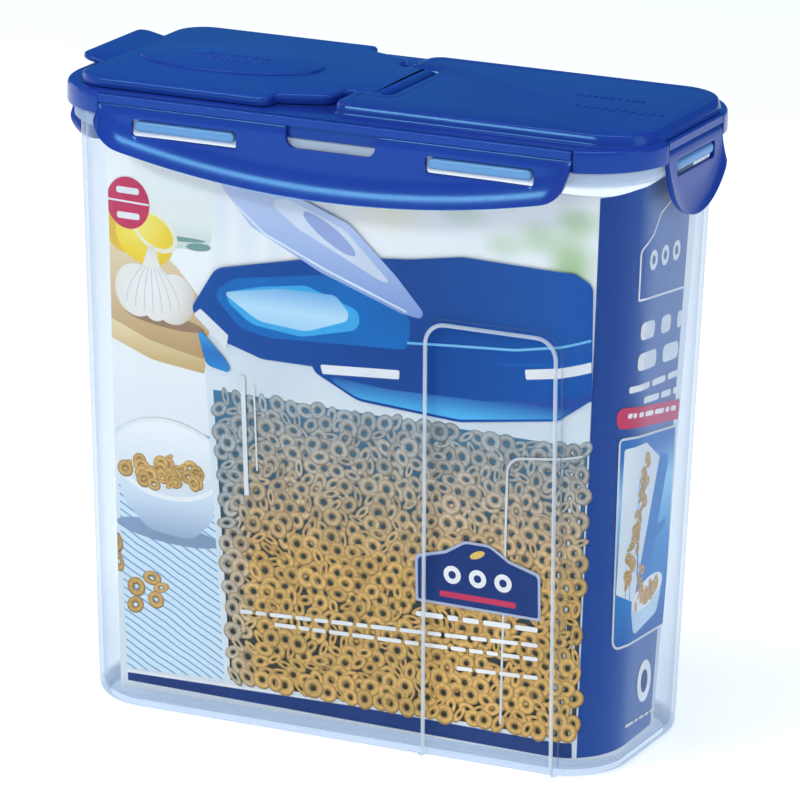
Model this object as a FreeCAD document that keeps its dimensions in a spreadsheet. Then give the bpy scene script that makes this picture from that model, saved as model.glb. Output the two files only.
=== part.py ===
"""Lock-lid dry-food dispenser: a tall drafted tub, a gasketed lid held by four swing-down latches
and a pouring flap pinned between two ears of the lid. Millimetres, +Z up, origin at the centre of
the base. The pouring end is at -X and the label's long panel faces -Y.
"""

import FreeCAD
import Part
import math
import os
import re

import Sketcher
from FreeCAD import Placement, Rotation, Vector

DOC = FreeCAD.newDocument("cereal_dispenser")
X_AXIS = Vector(1, 0, 0)
Y_AXIS = Vector(0, 1, 0)
Z_AXIS = Vector(0, 0, 1)

# alias, value in millimetres or degrees, what it is
DIMENSIONS = (
    ("base_half_length", 105.0, "tub, outside, at the base"),
    ("base_half_depth", 43.5, "tub, outside, at the base"),
    ("base_corner", 25.0, "plan radius of the tub's corners at the base"),
    ("base_edge", 4.0, "rounding between the walls and the base"),
    ("shoulder_half_length", 111.2, "tub, outside, just under the flange band"),
    ("shoulder_half_depth", 49.6, "tub, outside, just under the flange band"),
    ("shoulder_corner", 27.0, "plan radius of the tub's corners at the shoulder"),
    ("shoulder_level", 218.5, "underside of the flange band"),
    ("band_tall", 5.0, "height of the flange band that carries the lugs"),
    ("band_back", 0.4, "how far the flange band stands behind the hinge pockets' faces"),
    ("band_corner", 29.0, "plan radius of the flange band"),
    ("wall_thick", 1.6, "tub and skirt walls"),
    ("floor_thick", 2.2, "floor of the tub"),
    ("neck_top", 228.6, "top edge of the tub's neck"),
    ("grip_centre", 59.7, "middle of each grip recess, from the middle of the tub"),
    ("grip_half_width", 25.0, "grip recess"),
    ("grip_top", 162.0, "top of the arched grip recess"),
    ("grip_corner", 7.5, "radius of the recess's upper corners"),
    ("grip_sunk", 3.0, "depth of the grip recess"),
    ("wall_lean", 1.6, "draft of the long walls, degrees"),
    ("rim_half_length", 116.0, "lid rim at its four corners"),
    ("rim_half_depth", 54.1, "lid rim at its four corners"),
    ("rim_corner", 31.0, "plan radius of the lid rim"),
    ("rim_bottom", 223.9, "lower edge of the lid's skirt"),
    ("rim_top", 232.0, "upper face of the lid's platform"),
    ("plate_thick", 2.0, "lid platform, deck and flap walls"),
    ("pocket_deep", 2.1, "how far the hinge pockets are set back from the rim"),
    ("running_gap", 0.3, "air between pieces that move past each other"),
    ("film_gap", 0.25, "air in place of the flexed film of a living hinge"),
    ("tongue_gap", 0.5, "air between the flap's tongue and each ear"),
    ("seal_gap", 0.15, "air above the edge that a soft ring closes on"),
    ("neck_gap", 0.6, "air each side of the tub's neck in the lid's channel"),
    ("plug_bottom", 224.6, "lower edge of the lid's inner plug wall"),
    ("plug_thick", 1.4, "the lid's inner plug wall"),
    ("deck_top", 236.0, "top of the deck and of the closed flap"),
    ("deck_inset", 2.4, "right-hand foot of the deck, from the rim's end"),
    ("deck_half_depth", 43.5, "raised deck, at its foot"),
    ("deck_slope", 1.8, "how far the deck's sides lean in over their height"),
    ("deck_corner", 19.0, "plan radius of the deck's corners"),
    ("deck_face", 7.2, "X of the deck's edge behind the flap's barrel"),
    ("ear_reach", 6.0, "how far the ears reach towards the pouring end, past X = 0"),
    ("ear_inner", 22.0, "half the gap between the ears"),
    ("flap_pin_x", 2.6, "flap hinge axis"),
    ("flap_pin_z", 233.2, "flap hinge axis"),
    ("barrel_radius", 2.7, "barrel on the flap's tongue"),
    ("pin_radius", 1.5, "stub pins of the flap"),
    ("pin_clearance", 0.05, "radial running fit of the pins in the ears"),
    ("pin_into_ear", 7.0, "depth of each pin in its ear"),
    ("mouth_middle", 65.5, "middle of the pour opening, from X = 0 towards -X"),
    ("mouth_half_length", 31.5, "pour opening"),
    ("mouth_half_depth", 36.0, "pour opening"),
    ("mouth_corner", 15.0, "pour opening"),
    ("lip_thick", 1.6, "wall around the pour opening"),
    ("lip_top", 233.2, "upper edge of the pour opening's lip"),
    ("lip_bottom", 226.0, "lower edge of the pour opening's spout"),
    ("flap_end", 106.0, "pouring end of the flap, from X = 0 towards -X"),
    ("flap_step", 28.0, "where the flap narrows, from X = 0 towards -X"),
    ("flap_half_depth", 47.0, "flap"),
    ("flap_corner", 12.0, "plan radius of the flap's corners"),
    ("flap_wall", 1.8, "skin of the flap"),
    ("shoulder_half_width", 40.0, "flap's narrow part at the step"),
    ("throat_half_width", 33.0, "flap's narrow part beside the ears"),
    ("throat_x", 9.2, "end of the narrow part, from X = 0 towards -X"),
    ("oval_half_length", 36.5, "raised oval on the flap"),
    ("oval_half_depth", 20.5, "raised oval on the flap"),
    ("oval_rise", 0.8, "raised oval on the flap"),
    ("tab_half_width", 24.0, "pull tab"),
    ("tab_length", 11.5, "pull tab"),
    ("tab_thick", 2.0, "pull tab"),
    ("tab_tilt", 12.0, "rise of the pull tab, degrees"),
    ("strip_axis", 230.9, "height of the hinge between the rim and each hinge strip"),
    ("latch_axis", 227.4, "height of the hinge between each strip and its latch"),
    ("strip_round", 0.8, "rounded hinge edge of a strip"),
    ("latch_round", 0.9, "rounded hinge edge of a latch, half the latch's thickness"),
    ("long_half_span", 91.4, "front and rear latches"),
    ("long_lowest", 203.6, "lowest point of the front and rear latches"),
    ("long_bow", 385.0, "radius of the long latches' lower edge"),
    ("long_corner", 12.0, "corner radius of the long latches"),
    ("end_half_span", 24.5, "left and right latches"),
    ("end_lowest", 201.5, "lowest point of the left and right latches"),
    ("end_bow", 31.0, "radius of the end latches' lower edge"),
    ("end_corner", 5.0, "corner radius of the end latches"),
    ("flare_start", 213.0, "height where a latch starts to flare outwards"),
    ("long_flare", 4.0, "how far a long latch's lower edge stands out"),
    ("end_flare", 2.0, "how far an end latch's lower edge stands out"),
    ("slot_bottom", 217.7, "lower lip of the latch slots"),
    ("slot_top", 223.9, "upper lip of the latch slots"),
    ("long_slot_half", 20.6, "slots of the front and rear latches"),
    ("end_slot_half", 17.2, "slots of the left and right latches"),
    ("slot_corner", 1.2, "corner radius of the latch slots"),
    ("slot_centre", 57.2, "middle of each long latch's slots"),
    ("notch_half_width", 17.4, "cut-out in the middle of a long latch"),
    ("notch_bottom", 220.5, "cut-out in the middle of a long latch"),
    ("notch_chamfer", 4.0, "lower corners of the cut-out"),
    ("lug_bottom", 219.4, "lock lugs"),
    ("lug_tall", 4.0, "lock lugs"),
    ("long_lug_half", 19.8, "lock lugs at the front and rear"),
    ("end_lug_half", 16.4, "lock lugs at the left and right"),
    ("lug_proud", 2.8, "lock lugs, from the flange band"),
    ("lug_round", 1.7, "rounded outer edges of the lugs"),
    ("card_thick", 0.5, "printed card"),
    ("card_bottom", 6.0, "lower edge of the card"),
    ("card_top", 214.0, "upper edge of the card"),
    ("card_back", 5.0, "front panel's face behind the tub's outer face"),
    ("card_side", 2.0, "end panel's face behind the tub's outer face"),
    ("card_corner", 20.0, "bend of the card"),
    ("card_left_low", 89.0, "left edge of the front panel at its foot, from X = 0 towards -X"),
    ("card_left_high", 93.0, "left edge of the front panel at its top, from X = 0 towards -X"),
    ("card_end_low", 6.6, "rear edge of the end panel at its foot"),
    ("card_end_high", 21.6, "rear edge of the end panel at its top"),
)


def make_sheet():
    """The spreadsheet that every size is bound to."""
    sheet = DOC.addObject("Spreadsheet::Sheet", "Sizes")
    for row, (alias, value, meaning) in enumerate(DIMENSIONS, start=1):
        sheet.set(f"A{row}", meaning)
        sheet.set(f"B{row}", str(value))
        sheet.setAlias(f"B{row}", alias)
    DOC.recompute()
    return sheet


SHEET = make_sheet()
ALIAS = re.compile(r"\b(" + "|".join(alias for alias, _, _ in DIMENSIONS) + r")\b")


def linked(text):
    """An expression whose aliases point at the sheet."""
    return ALIAS.sub(r"Sizes.\1", text)


def value(text):
    """The number that an expression has now."""
    return float(SHEET.evalExpression(linked(text)))


def bind(target, **expressions):
    """Bind properties to sheet expressions; a double underscore stands for a dot."""
    for name, text in expressions.items():
        target.setExpression(name.replace("__", "."), linked(text))
    return target


def place(target, x="0", y="0", z="0"):
    """Bind an object's position to sheet expressions."""
    return bind(target, Placement__Base__x=x, Placement__Base__y=y, Placement__Base__z=z)


def stand(outline, across, normal):
    """Stand a flat outline upright: its own X runs along across, its own Y up."""
    outline.Placement = Placement(Vector(), Rotation(across, Z_AXIS, normal, "XYZ"))
    return outline


def turned(name, solid, turn):
    """A solid turned about the Z axis, by degrees."""
    group = DOC.addObject("Part::Compound", name)
    group.Links = [solid]
    group.Placement = Placement(Vector(), Rotation(Z_AXIS, turn))
    return group


def hold(sketch, first, second, kind, text):
    """A driving distance between two sketch points, bound to the sheet."""
    index = sketch.addConstraint(Sketcher.Constraint(kind, *first, *second, value(text)))
    sketch.setExpression(f"Constraints[{index}]", linked(text))


def rounded_rectangle(name, half_length, half_depth, corner):
    """Fully constrained rounded rectangle about the sketch's own origin."""
    sketch = DOC.addObject("Sketcher::SketchObject", name)
    a, b, r = value(half_length), value(half_depth), value(corner)
    u, v = a - r, b - r
    ends = ((a, -v), (a, v), (u, b), (-u, b), (-a, v), (-a, -v), (-u, -b), (u, -b))
    for start, end in zip(ends[::2], ends[1::2]):
        sketch.addGeometry(Part.LineSegment(Vector(*start, 0), Vector(*end, 0)))
    quarter = math.pi / 2
    for turn, (sx, sy) in enumerate(((1, 1), (-1, 1), (-1, -1), (1, -1))):
        circle = Part.Circle(Vector(sx * u, sy * v, 0), Z_AXIS, r)
        sketch.addGeometry(Part.ArcOfCircle(circle, turn * quarter, (turn + 1) * quarter))
    for side in range(4):
        sketch.addConstraint(Sketcher.Constraint("Tangent", side, 2, 4 + side, 1))
        sketch.addConstraint(Sketcher.Constraint("Tangent", 4 + side, 2, (side + 1) % 4, 1))
        sketch.addConstraint(Sketcher.Constraint("Horizontal" if side % 2 else "Vertical", side))
    for arc in (5, 6, 7):
        sketch.addConstraint(Sketcher.Constraint("Equal", 4, arc))
    radius = sketch.addConstraint(Sketcher.Constraint("Radius", 4, r))
    sketch.setExpression(f"Constraints[{radius}]", linked(corner))
    origin = (-1, 1)
    hold(sketch, origin, (0, 1), "DistanceX", half_length)
    hold(sketch, (2, 1), origin, "DistanceX", half_length)
    hold(sketch, origin, (1, 1), "DistanceY", half_depth)
    hold(sketch, (3, 1), origin, "DistanceY", half_depth)
    return sketch


def polygon(name, points):
    """Closed outline through points, each a pair of sheet expressions of positive value."""
    sketch = DOC.addObject("Sketcher::SketchObject", name)
    spots = [Vector(value(u), value(v), 0) for u, v in points]
    count = len(spots)
    for k in range(count):
        sketch.addGeometry(Part.LineSegment(spots[k], spots[(k + 1) % count]))
    for k, (u, v) in enumerate(points):
        sketch.addConstraint(Sketcher.Constraint("Coincident", (k - 1) % count, 2, k, 1))
        hold(sketch, (-1, 1), (k, 1), "DistanceX", u)
        hold(sketch, (-1, 1), (k, 1), "DistanceY", v)
    return sketch


def bowed_outline(name, half_span, top, lowest, bow, corner):
    """Straight top and sides, and a lower edge bowed downwards with rounded ends."""
    sketch = DOC.addObject("Sketcher::SketchObject", name)
    side, roof, low, big, small = (value(text) for text in (half_span, top, lowest, bow, corner))
    centre_y = low + big
    corner_x = side - small
    corner_y = centre_y - math.sqrt((big - small) ** 2 - corner_x ** 2)
    swing = math.atan2(centre_y - corner_y, corner_x)
    path = [Vector(*spot, 0) for spot in ((side, corner_y), (side, roof), (-side, roof), (-side, corner_y))]
    for start, end in zip(path, path[1:]):
        sketch.addGeometry(Part.LineSegment(start, end))
    arcs = ((-corner_x, corner_y, small, math.pi, math.pi + swing),
            (0, centre_y, big, math.pi + swing, 2 * math.pi - swing),
            (corner_x, corner_y, small, 2 * math.pi - swing, 2 * math.pi))
    for x, y, r, start, end in arcs:
        sketch.addGeometry(Part.ArcOfCircle(Part.Circle(Vector(x, y, 0), Z_AXIS, r), start, end))
    for first, second in ((0, 1), (1, 2)):
        sketch.addConstraint(Sketcher.Constraint("Coincident", first, 2, second, 1))
    for kind, line in (("Vertical", 0), ("Horizontal", 1), ("Vertical", 2)):
        sketch.addConstraint(Sketcher.Constraint(kind, line))
    for first, second in ((2, 3), (3, 4), (4, 5), (5, 0)):
        sketch.addConstraint(Sketcher.Constraint("Tangent", first, 2, second, 1))
    sketch.addConstraint(Sketcher.Constraint("Equal", 3, 5))
    sketch.addConstraint(Sketcher.Constraint("PointOnObject", 4, 3, -2))
    for arc, text in ((3, corner), (4, bow)):
        radius = sketch.addConstraint(Sketcher.Constraint("Radius", arc, value(text)))
        sketch.setExpression(f"Constraints[{radius}]", linked(text))
    origin = (-1, 1)
    hold(sketch, origin, (0, 2), "DistanceX", half_span)
    hold(sketch, (1, 2), origin, "DistanceX", half_span)
    hold(sketch, origin, (0, 2), "DistanceY", top)
    hold(sketch, origin, (4, 3), "DistanceY", f"{lowest} + {bow}")
    return sketch


def extrusion(name, outline, length, symmetric=False):
    """Solid from an outline, along its own normal."""
    solid = DOC.addObject("Part::Extrusion", name)
    solid.Base = outline
    solid.DirMode = "Normal"
    solid.Solid = True
    solid.Symmetric = symmetric
    return bind(solid, LengthFwd=length)


def prism(name, half_length, half_depth, corner, low, high, middle="0"):
    """Upright solid of rounded-rectangle plan from one level to another."""
    outline = rounded_rectangle(name + "_plan", half_length, half_depth, corner)
    place(outline, x=middle, z=low)
    return extrusion(name, outline, f"{high} - ({low})")


def drafted(name, low_plan, high_plan, low, high, middle="0", middle_y="0"):
    """Loft between two rounded rectangles, each (half length, half depth, corner)."""
    plans = []
    for mark, plan, level in (("low", low_plan, low), ("high", high_plan, high)):
        outline = rounded_rectangle(f"{name}_{mark}", *plan)
        plans.append(place(outline, x=middle, y=middle_y, z=level))
    loft = DOC.addObject("Part::Loft", name)
    loft.Sections = plans
    loft.Solid = True
    loft.Ruled = True
    return loft


def block(name, length, depth, tall, x="0", y="0", z="0"):
    """Box from its lowest corner."""
    box = DOC.addObject("Part::Box", name)
    bind(box, Length=length, Width=depth, Height=tall)
    return place(box, x, y, z)


def rod(name, radius, length, x="0", y="0", z="0", along=Y_AXIS):
    """Cylinder from a point, along X or Y."""
    cylinder = DOC.addObject("Part::Cylinder", name)
    cylinder.Placement = Placement(Vector(), Rotation(Z_AXIS, along))
    bind(cylinder, Radius=radius, Height=length)
    return place(cylinder, x, y, z)


def fuse(name, *pieces):
    """One solid from several."""
    joined = DOC.addObject("Part::MultiFuse", name)
    joined.Shapes = list(pieces)
    joined.Refine = True
    return joined


def common(name, *pieces):
    """What several solids share."""
    shared = DOC.addObject("Part::MultiCommon", name)
    shared.Shapes = list(pieces)
    return shared


def cut(name, body, *tools):
    """Body less the tools."""
    tool = tools[0] if len(tools) == 1 else fuse(name + "_tools", *tools)
    result = DOC.addObject("Part::Cut", name)
    result.Base = body
    result.Tool = tool
    result.Refine = True
    return result


def rounded(name, body, radius, wanted):
    """Fillet the edges for which wanted(edge) is true."""
    DOC.recompute()
    fillet = DOC.addObject("Part::Fillet", name)
    fillet.Base = body
    size = value(radius)
    edges = [(k, size, size) for k, edge in enumerate(body.Shape.Edges, start=1) if wanted(edge)]
    if not edges:
        raise RuntimeError(f"{name}: no edge to round")
    fillet.Edges = edges
    return fillet


def straight_along(axis):
    """Edge test: a straight edge along a direction."""
    def test(edge):
        if not isinstance(edge.Curve, Part.Line):
            return False
        return abs(edge.tangentAt(edge.FirstParameter).dot(axis)) > 0.999
    return test


def at_level(level):
    """Edge test: an edge that lies wholly at one height."""
    height = value(level)
    return lambda edge: abs(edge.BoundBox.ZMin - height) < 0.01 and abs(edge.BoundBox.ZMax - height) < 0.01


def grips(name, depth, margin="0"):
    """Both arch-topped grip recesses, as blocks whose inner faces lean with the long walls."""
    reach = 20
    block_top = f"grip_top + {margin} + {reach}"
    step_back = Placement(Vector(0, -reach, -reach), Rotation())
    lean = Rotation(X_AXIS, value("wall_lean"))
    corner = Vector(value(f"-grip_half_width - {margin}"), value(f"{depth} - base_half_depth"), 0)
    at_wall = Placement(corner, lean)
    to_grip = Placement(Vector(value("grip_centre"), 0, 0), Rotation())
    sides = []
    for side, turn in (("front", 0), ("rear", 180)):
        box = block(f"{name}_{side}_block", f"2 * (grip_half_width + {margin})", str(reach), block_top)
        arched = rounded(f"{name}_{side}", box, f"grip_corner + {margin}",
                         lambda edge: straight_along(Y_AXIS)(edge) and edge.BoundBox.ZMin > reach)
        facing = Placement(Vector(), Rotation(Z_AXIS, turn))
        arched.Placement = to_grip.multiply(facing).multiply(at_wall).multiply(step_back)
        sides.append(arched)
    return fuse(name, *sides)


def make_container():
    """Tub: drafted walls, flange band, neck, and a shallow arched grip recess in each long wall."""
    base = ("base_half_length", "base_half_depth", "base_corner")
    shoulder = ("shoulder_half_length", "shoulder_half_depth", "shoulder_corner")
    walls = drafted("tub_walls", base, shoulder, "0", "shoulder_level")
    soft = rounded("tub_rounded", walls, "base_edge", at_level("0"))
    band_plan = ("rim_half_length - pocket_deep - band_back", "rim_half_depth - pocket_deep - band_back",
                 "band_corner")
    band = prism("tub_band", *band_plan, "shoulder_level", "shoulder_level + band_tall")
    neck = prism("tub_neck", NECK_HALF_LENGTH, NECK_HALF_DEPTH, NECK_CORNER, "shoulder_level", "neck_top")
    outside = cut("tub_outside", fuse("tub_mass", soft, band, neck), grips("tub_grips", "grip_sunk"))
    inner_base = [f"{part} - wall_thick" for part in base]
    inner_shoulder = [f"{part} - wall_thick" for part in shoulder]
    hollow = drafted("tub_hollow_walls", inner_base, inner_shoulder, "0", "shoulder_level")
    level_floor = block("tub_floor", "300", "200", "floor_thick", "-150", "-100")
    neck_inside = [f"{part} - wall_thick" for part in (NECK_HALF_LENGTH, NECK_HALF_DEPTH, NECK_CORNER)]
    hollow_neck = prism("tub_hollow_neck", *neck_inside, "shoulder_level - 0.01", "neck_top + 1")
    steps = grips("tub_grip_backs", "grip_sunk + wall_thick", "wall_thick")
    hollow_low = cut("tub_hollow_low", hollow, level_floor, steps)
    return cut("container", outside, fuse("tub_hollow", hollow_low, hollow_neck))


SKIRT_INNER = ("rim_half_length - pocket_deep - wall_thick", "rim_half_depth - pocket_deep - wall_thick")
NECK_HALF_LENGTH = f"{SKIRT_INNER[0]} - neck_gap"
NECK_HALF_DEPTH = f"{SKIRT_INNER[1]} - neck_gap"
NECK_CORNER = "rim_corner - 4"
PLUG_HALF_LENGTH = f"{NECK_HALF_LENGTH} - wall_thick - neck_gap"
PLUG_HALF_DEPTH = f"{NECK_HALF_DEPTH} - wall_thick - neck_gap"
PLUG_CORNER = "rim_corner - 6.2"
PLATE_UNDER = "rim_top - plate_thick"


def make_lugs(side, turn, reach, centres):
    """Lock lugs on the flange band of one side: bars with rounded outer edges."""
    root = f"{reach} - pocket_deep - band_back"
    half = "long_lug_half" if len(centres) > 1 else "end_lug_half"
    lugs = []
    for k, centre in enumerate(centres):
        bar = block(f"lug_{side}_{k}_bar", f"2 * {half}", "lug_proud", "lug_tall",
                    f"{centre} - {half}", f"-({root} + lug_proud)", "lug_bottom")
        outer_face = -value(f"{root} + lug_proud")
        lugs.append(rounded(f"lug_{side}_{k}", bar, "lug_round",
                            lambda edge, face=outer_face: abs(edge.BoundBox.YMax - face) < 0.01))
    return turned(f"lock_lugs_{side}", lugs[0] if len(lugs) == 1 else fuse(f"lug_pair_{side}", *lugs), turn)


def make_lid_frame():
    """Lid: rim with hinge pockets, skirt, plug wall, deck with two ears, and the pour opening."""
    rim = prism("rim_mass", "rim_half_length", "rim_half_depth", "rim_corner", "rim_bottom", "rim_top")
    deck_half = "(rim_half_length - deck_inset + ear_reach) / 2"
    deck_low = (deck_half, "deck_half_depth", "deck_corner")
    deck_high = (f"{deck_half} - deck_slope / 2", "deck_half_depth - deck_slope",
                 "deck_corner - deck_slope / 2")
    deck_middle = "(rim_half_length - deck_inset - ear_reach) / 2"
    deck = drafted("deck_mass", deck_low, deck_high, "rim_top - 0.5", "deck_top", deck_middle)
    ear_fill = block("ear_fill", "deck_corner", "2 * deck_half_depth - 5", "deck_top - rim_top",
                     "-ear_reach", "-(deck_half_depth - 2.5)", "rim_top")
    boss = block("trough_boss", "12", "2 * ear_inner + 4", "2.6", "-3", "-(ear_inner + 2)",
                 f"{PLATE_UNDER} - 2.5")
    lip = prism("lip_mass", "mouth_half_length + lip_thick", "mouth_half_depth + lip_thick",
                "mouth_corner + lip_thick", "lip_bottom", "lip_top", "-mouth_middle")
    channel = prism("skirt_hollow", *SKIRT_INNER, "rim_corner - 3.4", "rim_bottom - 1", PLATE_UNDER)
    plug = (PLUG_HALF_LENGTH, PLUG_HALF_DEPTH, PLUG_CORNER)
    plug_mass = prism("plug_mass", *plug, "plug_bottom", f"{PLATE_UNDER} + 0.5")
    plug_inside = [f"{part} - plug_thick" for part in plug]
    plug_core = prism("plug_core", *plug_inside, "plug_bottom - 1", PLATE_UNDER)
    shell = fuse("lid_shell", cut("rim_shell", rim, channel), cut("plug_wall", plug_mass, plug_core),
                 deck, ear_fill, boss, lip)
    deck_core = prism("deck_core", "(rim_half_length - deck_inset - deck_face - 4) / 2 - 1",
                      "deck_half_depth - 4.2", "deck_corner - 4", f"{PLATE_UNDER} - 0.5",
                      "deck_top - plate_thick",
                      "(rim_half_length - deck_inset + deck_face) / 2")
    bay = block("tongue_bay", "deck_face + ear_reach + 20", "2 * ear_inner", "10", "-(ear_reach + 20)",
                "-ear_inner", "rim_top")
    trough = block("barrel_trough", "8.4", "2 * ear_inner", "5", "deck_face - 8.4", "-ear_inner",
                   "flap_pin_z - barrel_radius - 0.3")
    mouth = prism("mouth_hole", "mouth_half_length", "mouth_half_depth", "mouth_corner", "lip_bottom - 1",
                  "lip_top + 1", "-mouth_middle")
    sockets = rod("pin_sockets", "pin_radius + pin_clearance", "2 * (ear_inner + pin_into_ear + 0.3)",
                  "flap_pin_x", "-(ear_inner + pin_into_ear + 0.3)", "flap_pin_z")
    pockets = []
    for side, turn, reach, centres in SIDES:
        span = "long_half_span" if len(centres) > 1 else "end_half_span"
        pocket = block(f"pocket_{side}_block", f"2 * ({span} + 0.5)", "10", "20", f"-({span} + 0.5)",
                       f"-({reach} - pocket_deep + 10)", "rim_bottom - 5")
        pockets.append(turned(f"pocket_{side}", pocket, turn))
    return cut("lid_frame", shell, deck_core, bay, trough, mouth, sockets, *pockets)


def make_lid_gasket():
    """Soft ring at the top of the channel, between the skirt and the plug wall."""
    outer = prism("gasket_outer", f"{SKIRT_INNER[0]} - 0.05", f"{SKIRT_INNER[1]} - 0.05", "rim_corner - 3.4",
                  "neck_top + seal_gap", PLATE_UNDER)
    inner = prism("gasket_inner", f"{PLUG_HALF_LENGTH} + 0.05", f"{PLUG_HALF_DEPTH} + 0.05", PLUG_CORNER,
                  "neck_top", "rim_top")
    return cut("lid_gasket", outer, inner)


def make_flap():
    """Pouring flap: hollow cap, narrow part, tongue with barrel, raised oval and pull tab."""
    foot = "rim_top + running_gap"
    cap = prism("flap_cap", "(flap_end - flap_step) / 2", "flap_half_depth", "flap_corner", foot, "deck_top",
                "-(flap_end + flap_step) / 2")
    taper_points = (("200 - flap_step - 6", "100 - shoulder_half_width"),
                    ("200 - flap_step", "100 - shoulder_half_width"),
                    ("200 - throat_x", "100 - throat_half_width"),
                    ("200 - throat_x", "100 + throat_half_width"),
                    ("200 - flap_step", "100 + shoulder_half_width"),
                    ("200 - flap_step - 6", "100 + shoulder_half_width"))
    taper_plan = place(polygon("flap_taper_plan", taper_points), "-200", "-100", foot)
    taper = extrusion("flap_taper", taper_plan, f"deck_top - ({foot})")
    half_tongue = "(ear_inner - tongue_gap)"
    tongue = block("flap_tongue", "throat_x + 1 + flap_pin_x", f"2 * {half_tongue}",
                   "deck_top - flap_pin_z - 0.4", "-(throat_x + 1)", f"-{half_tongue}", "flap_pin_z + 0.4")
    barrel = rod("flap_barrel", "barrel_radius", f"2 * {half_tongue}", "flap_pin_x", f"-{half_tongue}",
                 "flap_pin_z")
    hollow = prism("flap_hollow", "(flap_end - flap_step) / 2 - flap_wall", "flap_half_depth - flap_wall",
                   "flap_corner - flap_wall", f"{foot} - 1", "deck_top - flap_wall",
                   "-(flap_end + flap_step) / 2")
    hollow_points = (("200 - flap_step - 4", "100 - shoulder_half_width + flap_wall"),
                     ("200 - flap_step", "100 - shoulder_half_width + flap_wall"),
                     ("200 - throat_x - flap_wall", "100 - throat_half_width + flap_wall"),
                     ("200 - throat_x - flap_wall", "100 + throat_half_width - flap_wall"),
                     ("200 - flap_step", "100 + shoulder_half_width - flap_wall"),
                     ("200 - flap_step - 4", "100 + shoulder_half_width - flap_wall"))
    hollow_plan = place(polygon("flap_throat_plan", hollow_points), "-200", "-100", f"{foot} - 1")
    throat = extrusion("flap_throat", hollow_plan, f"deck_top - flap_wall - ({foot} - 1)")
    ellipse = DOC.addObject("Part::Ellipse", "flap_oval_plan")
    bind(ellipse, MajorRadius="oval_half_length", MinorRadius="oval_half_depth")
    place(ellipse, x="-mouth_middle", z="deck_top - 0.2")
    oval = extrusion("flap_oval", ellipse, "oval_rise + 0.2")
    tab_bar = block("flap_tab_bar", "tab_length", "2 * tab_half_width", "tab_thick", "-tab_length",
                    "-tab_half_width")
    tab = rounded("flap_tab", tab_bar, "tab_half_width / 6", lambda edge: straight_along(Z_AXIS)(edge)
                  and edge.BoundBox.XMax < -1)
    tab.Placement = Placement(Vector(-value("flap_end - 2.6"), 0, value("deck_top - tab_thick - 0.2")),
                              Rotation(Y_AXIS, value("tab_tilt")))
    skin = cut("flap_skin", fuse("flap_mass", cap, taper), hollow, throat)
    return fuse("flap", skin, tongue, barrel, oval, tab)


def make_flap_pins():
    """Stub pins at both ends of the flap's barrel, each reaching into its ear."""
    whole = rod("pins_whole", "pin_radius", "2 * (ear_inner + pin_into_ear)", "flap_pin_x",
                "-(ear_inner + pin_into_ear)", "flap_pin_z")
    between = block("pins_between", "10", "2 * (ear_inner - tongue_gap)", "10", "flap_pin_x - 5",
                    "-(ear_inner - tongue_gap)", "flap_pin_z - 5")
    return cut("flap_pins", whole, between)


def make_flap_seal():
    """Soft ring inside the flap that closes on the pour opening's lip."""
    outer = prism("seal_outer", "mouth_half_length + lip_thick + 1", "mouth_half_depth + lip_thick + 1",
                  "mouth_corner + lip_thick + 1", "lip_top + seal_gap", "deck_top - flap_wall",
                  "-mouth_middle")
    inner = prism("seal_inner", "mouth_half_length - 1", "mouth_half_depth - 1", "mouth_corner - 1",
                  "lip_top", "deck_top", "-mouth_middle")
    return cut("flap_seal", outer, inner)


def make_hinge_strip(side, turn, reach, span):
    """Strip between the rim and a latch, with a rounded upper edge on its hinge axis."""
    middle = f"{reach} - pocket_deep + running_gap + latch_round"
    foot = "latch_axis + latch_round + film_gap"
    strip = block(f"strip_{side}_plate", f"2 * {span}", "2 * strip_round", f"strip_axis - ({foot})",
                  f"-{span}", f"-({middle} + strip_round)", foot)
    edge = rod(f"strip_{side}_edge", "strip_round", f"2 * {span}", f"-{span}", f"-({middle})", "strip_axis",
               X_AXIS)
    joined = fuse(f"hinge_strip_{side}", strip, edge)
    joined.Placement = Placement(Vector(), Rotation(Z_AXIS, turn))
    return joined


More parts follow.
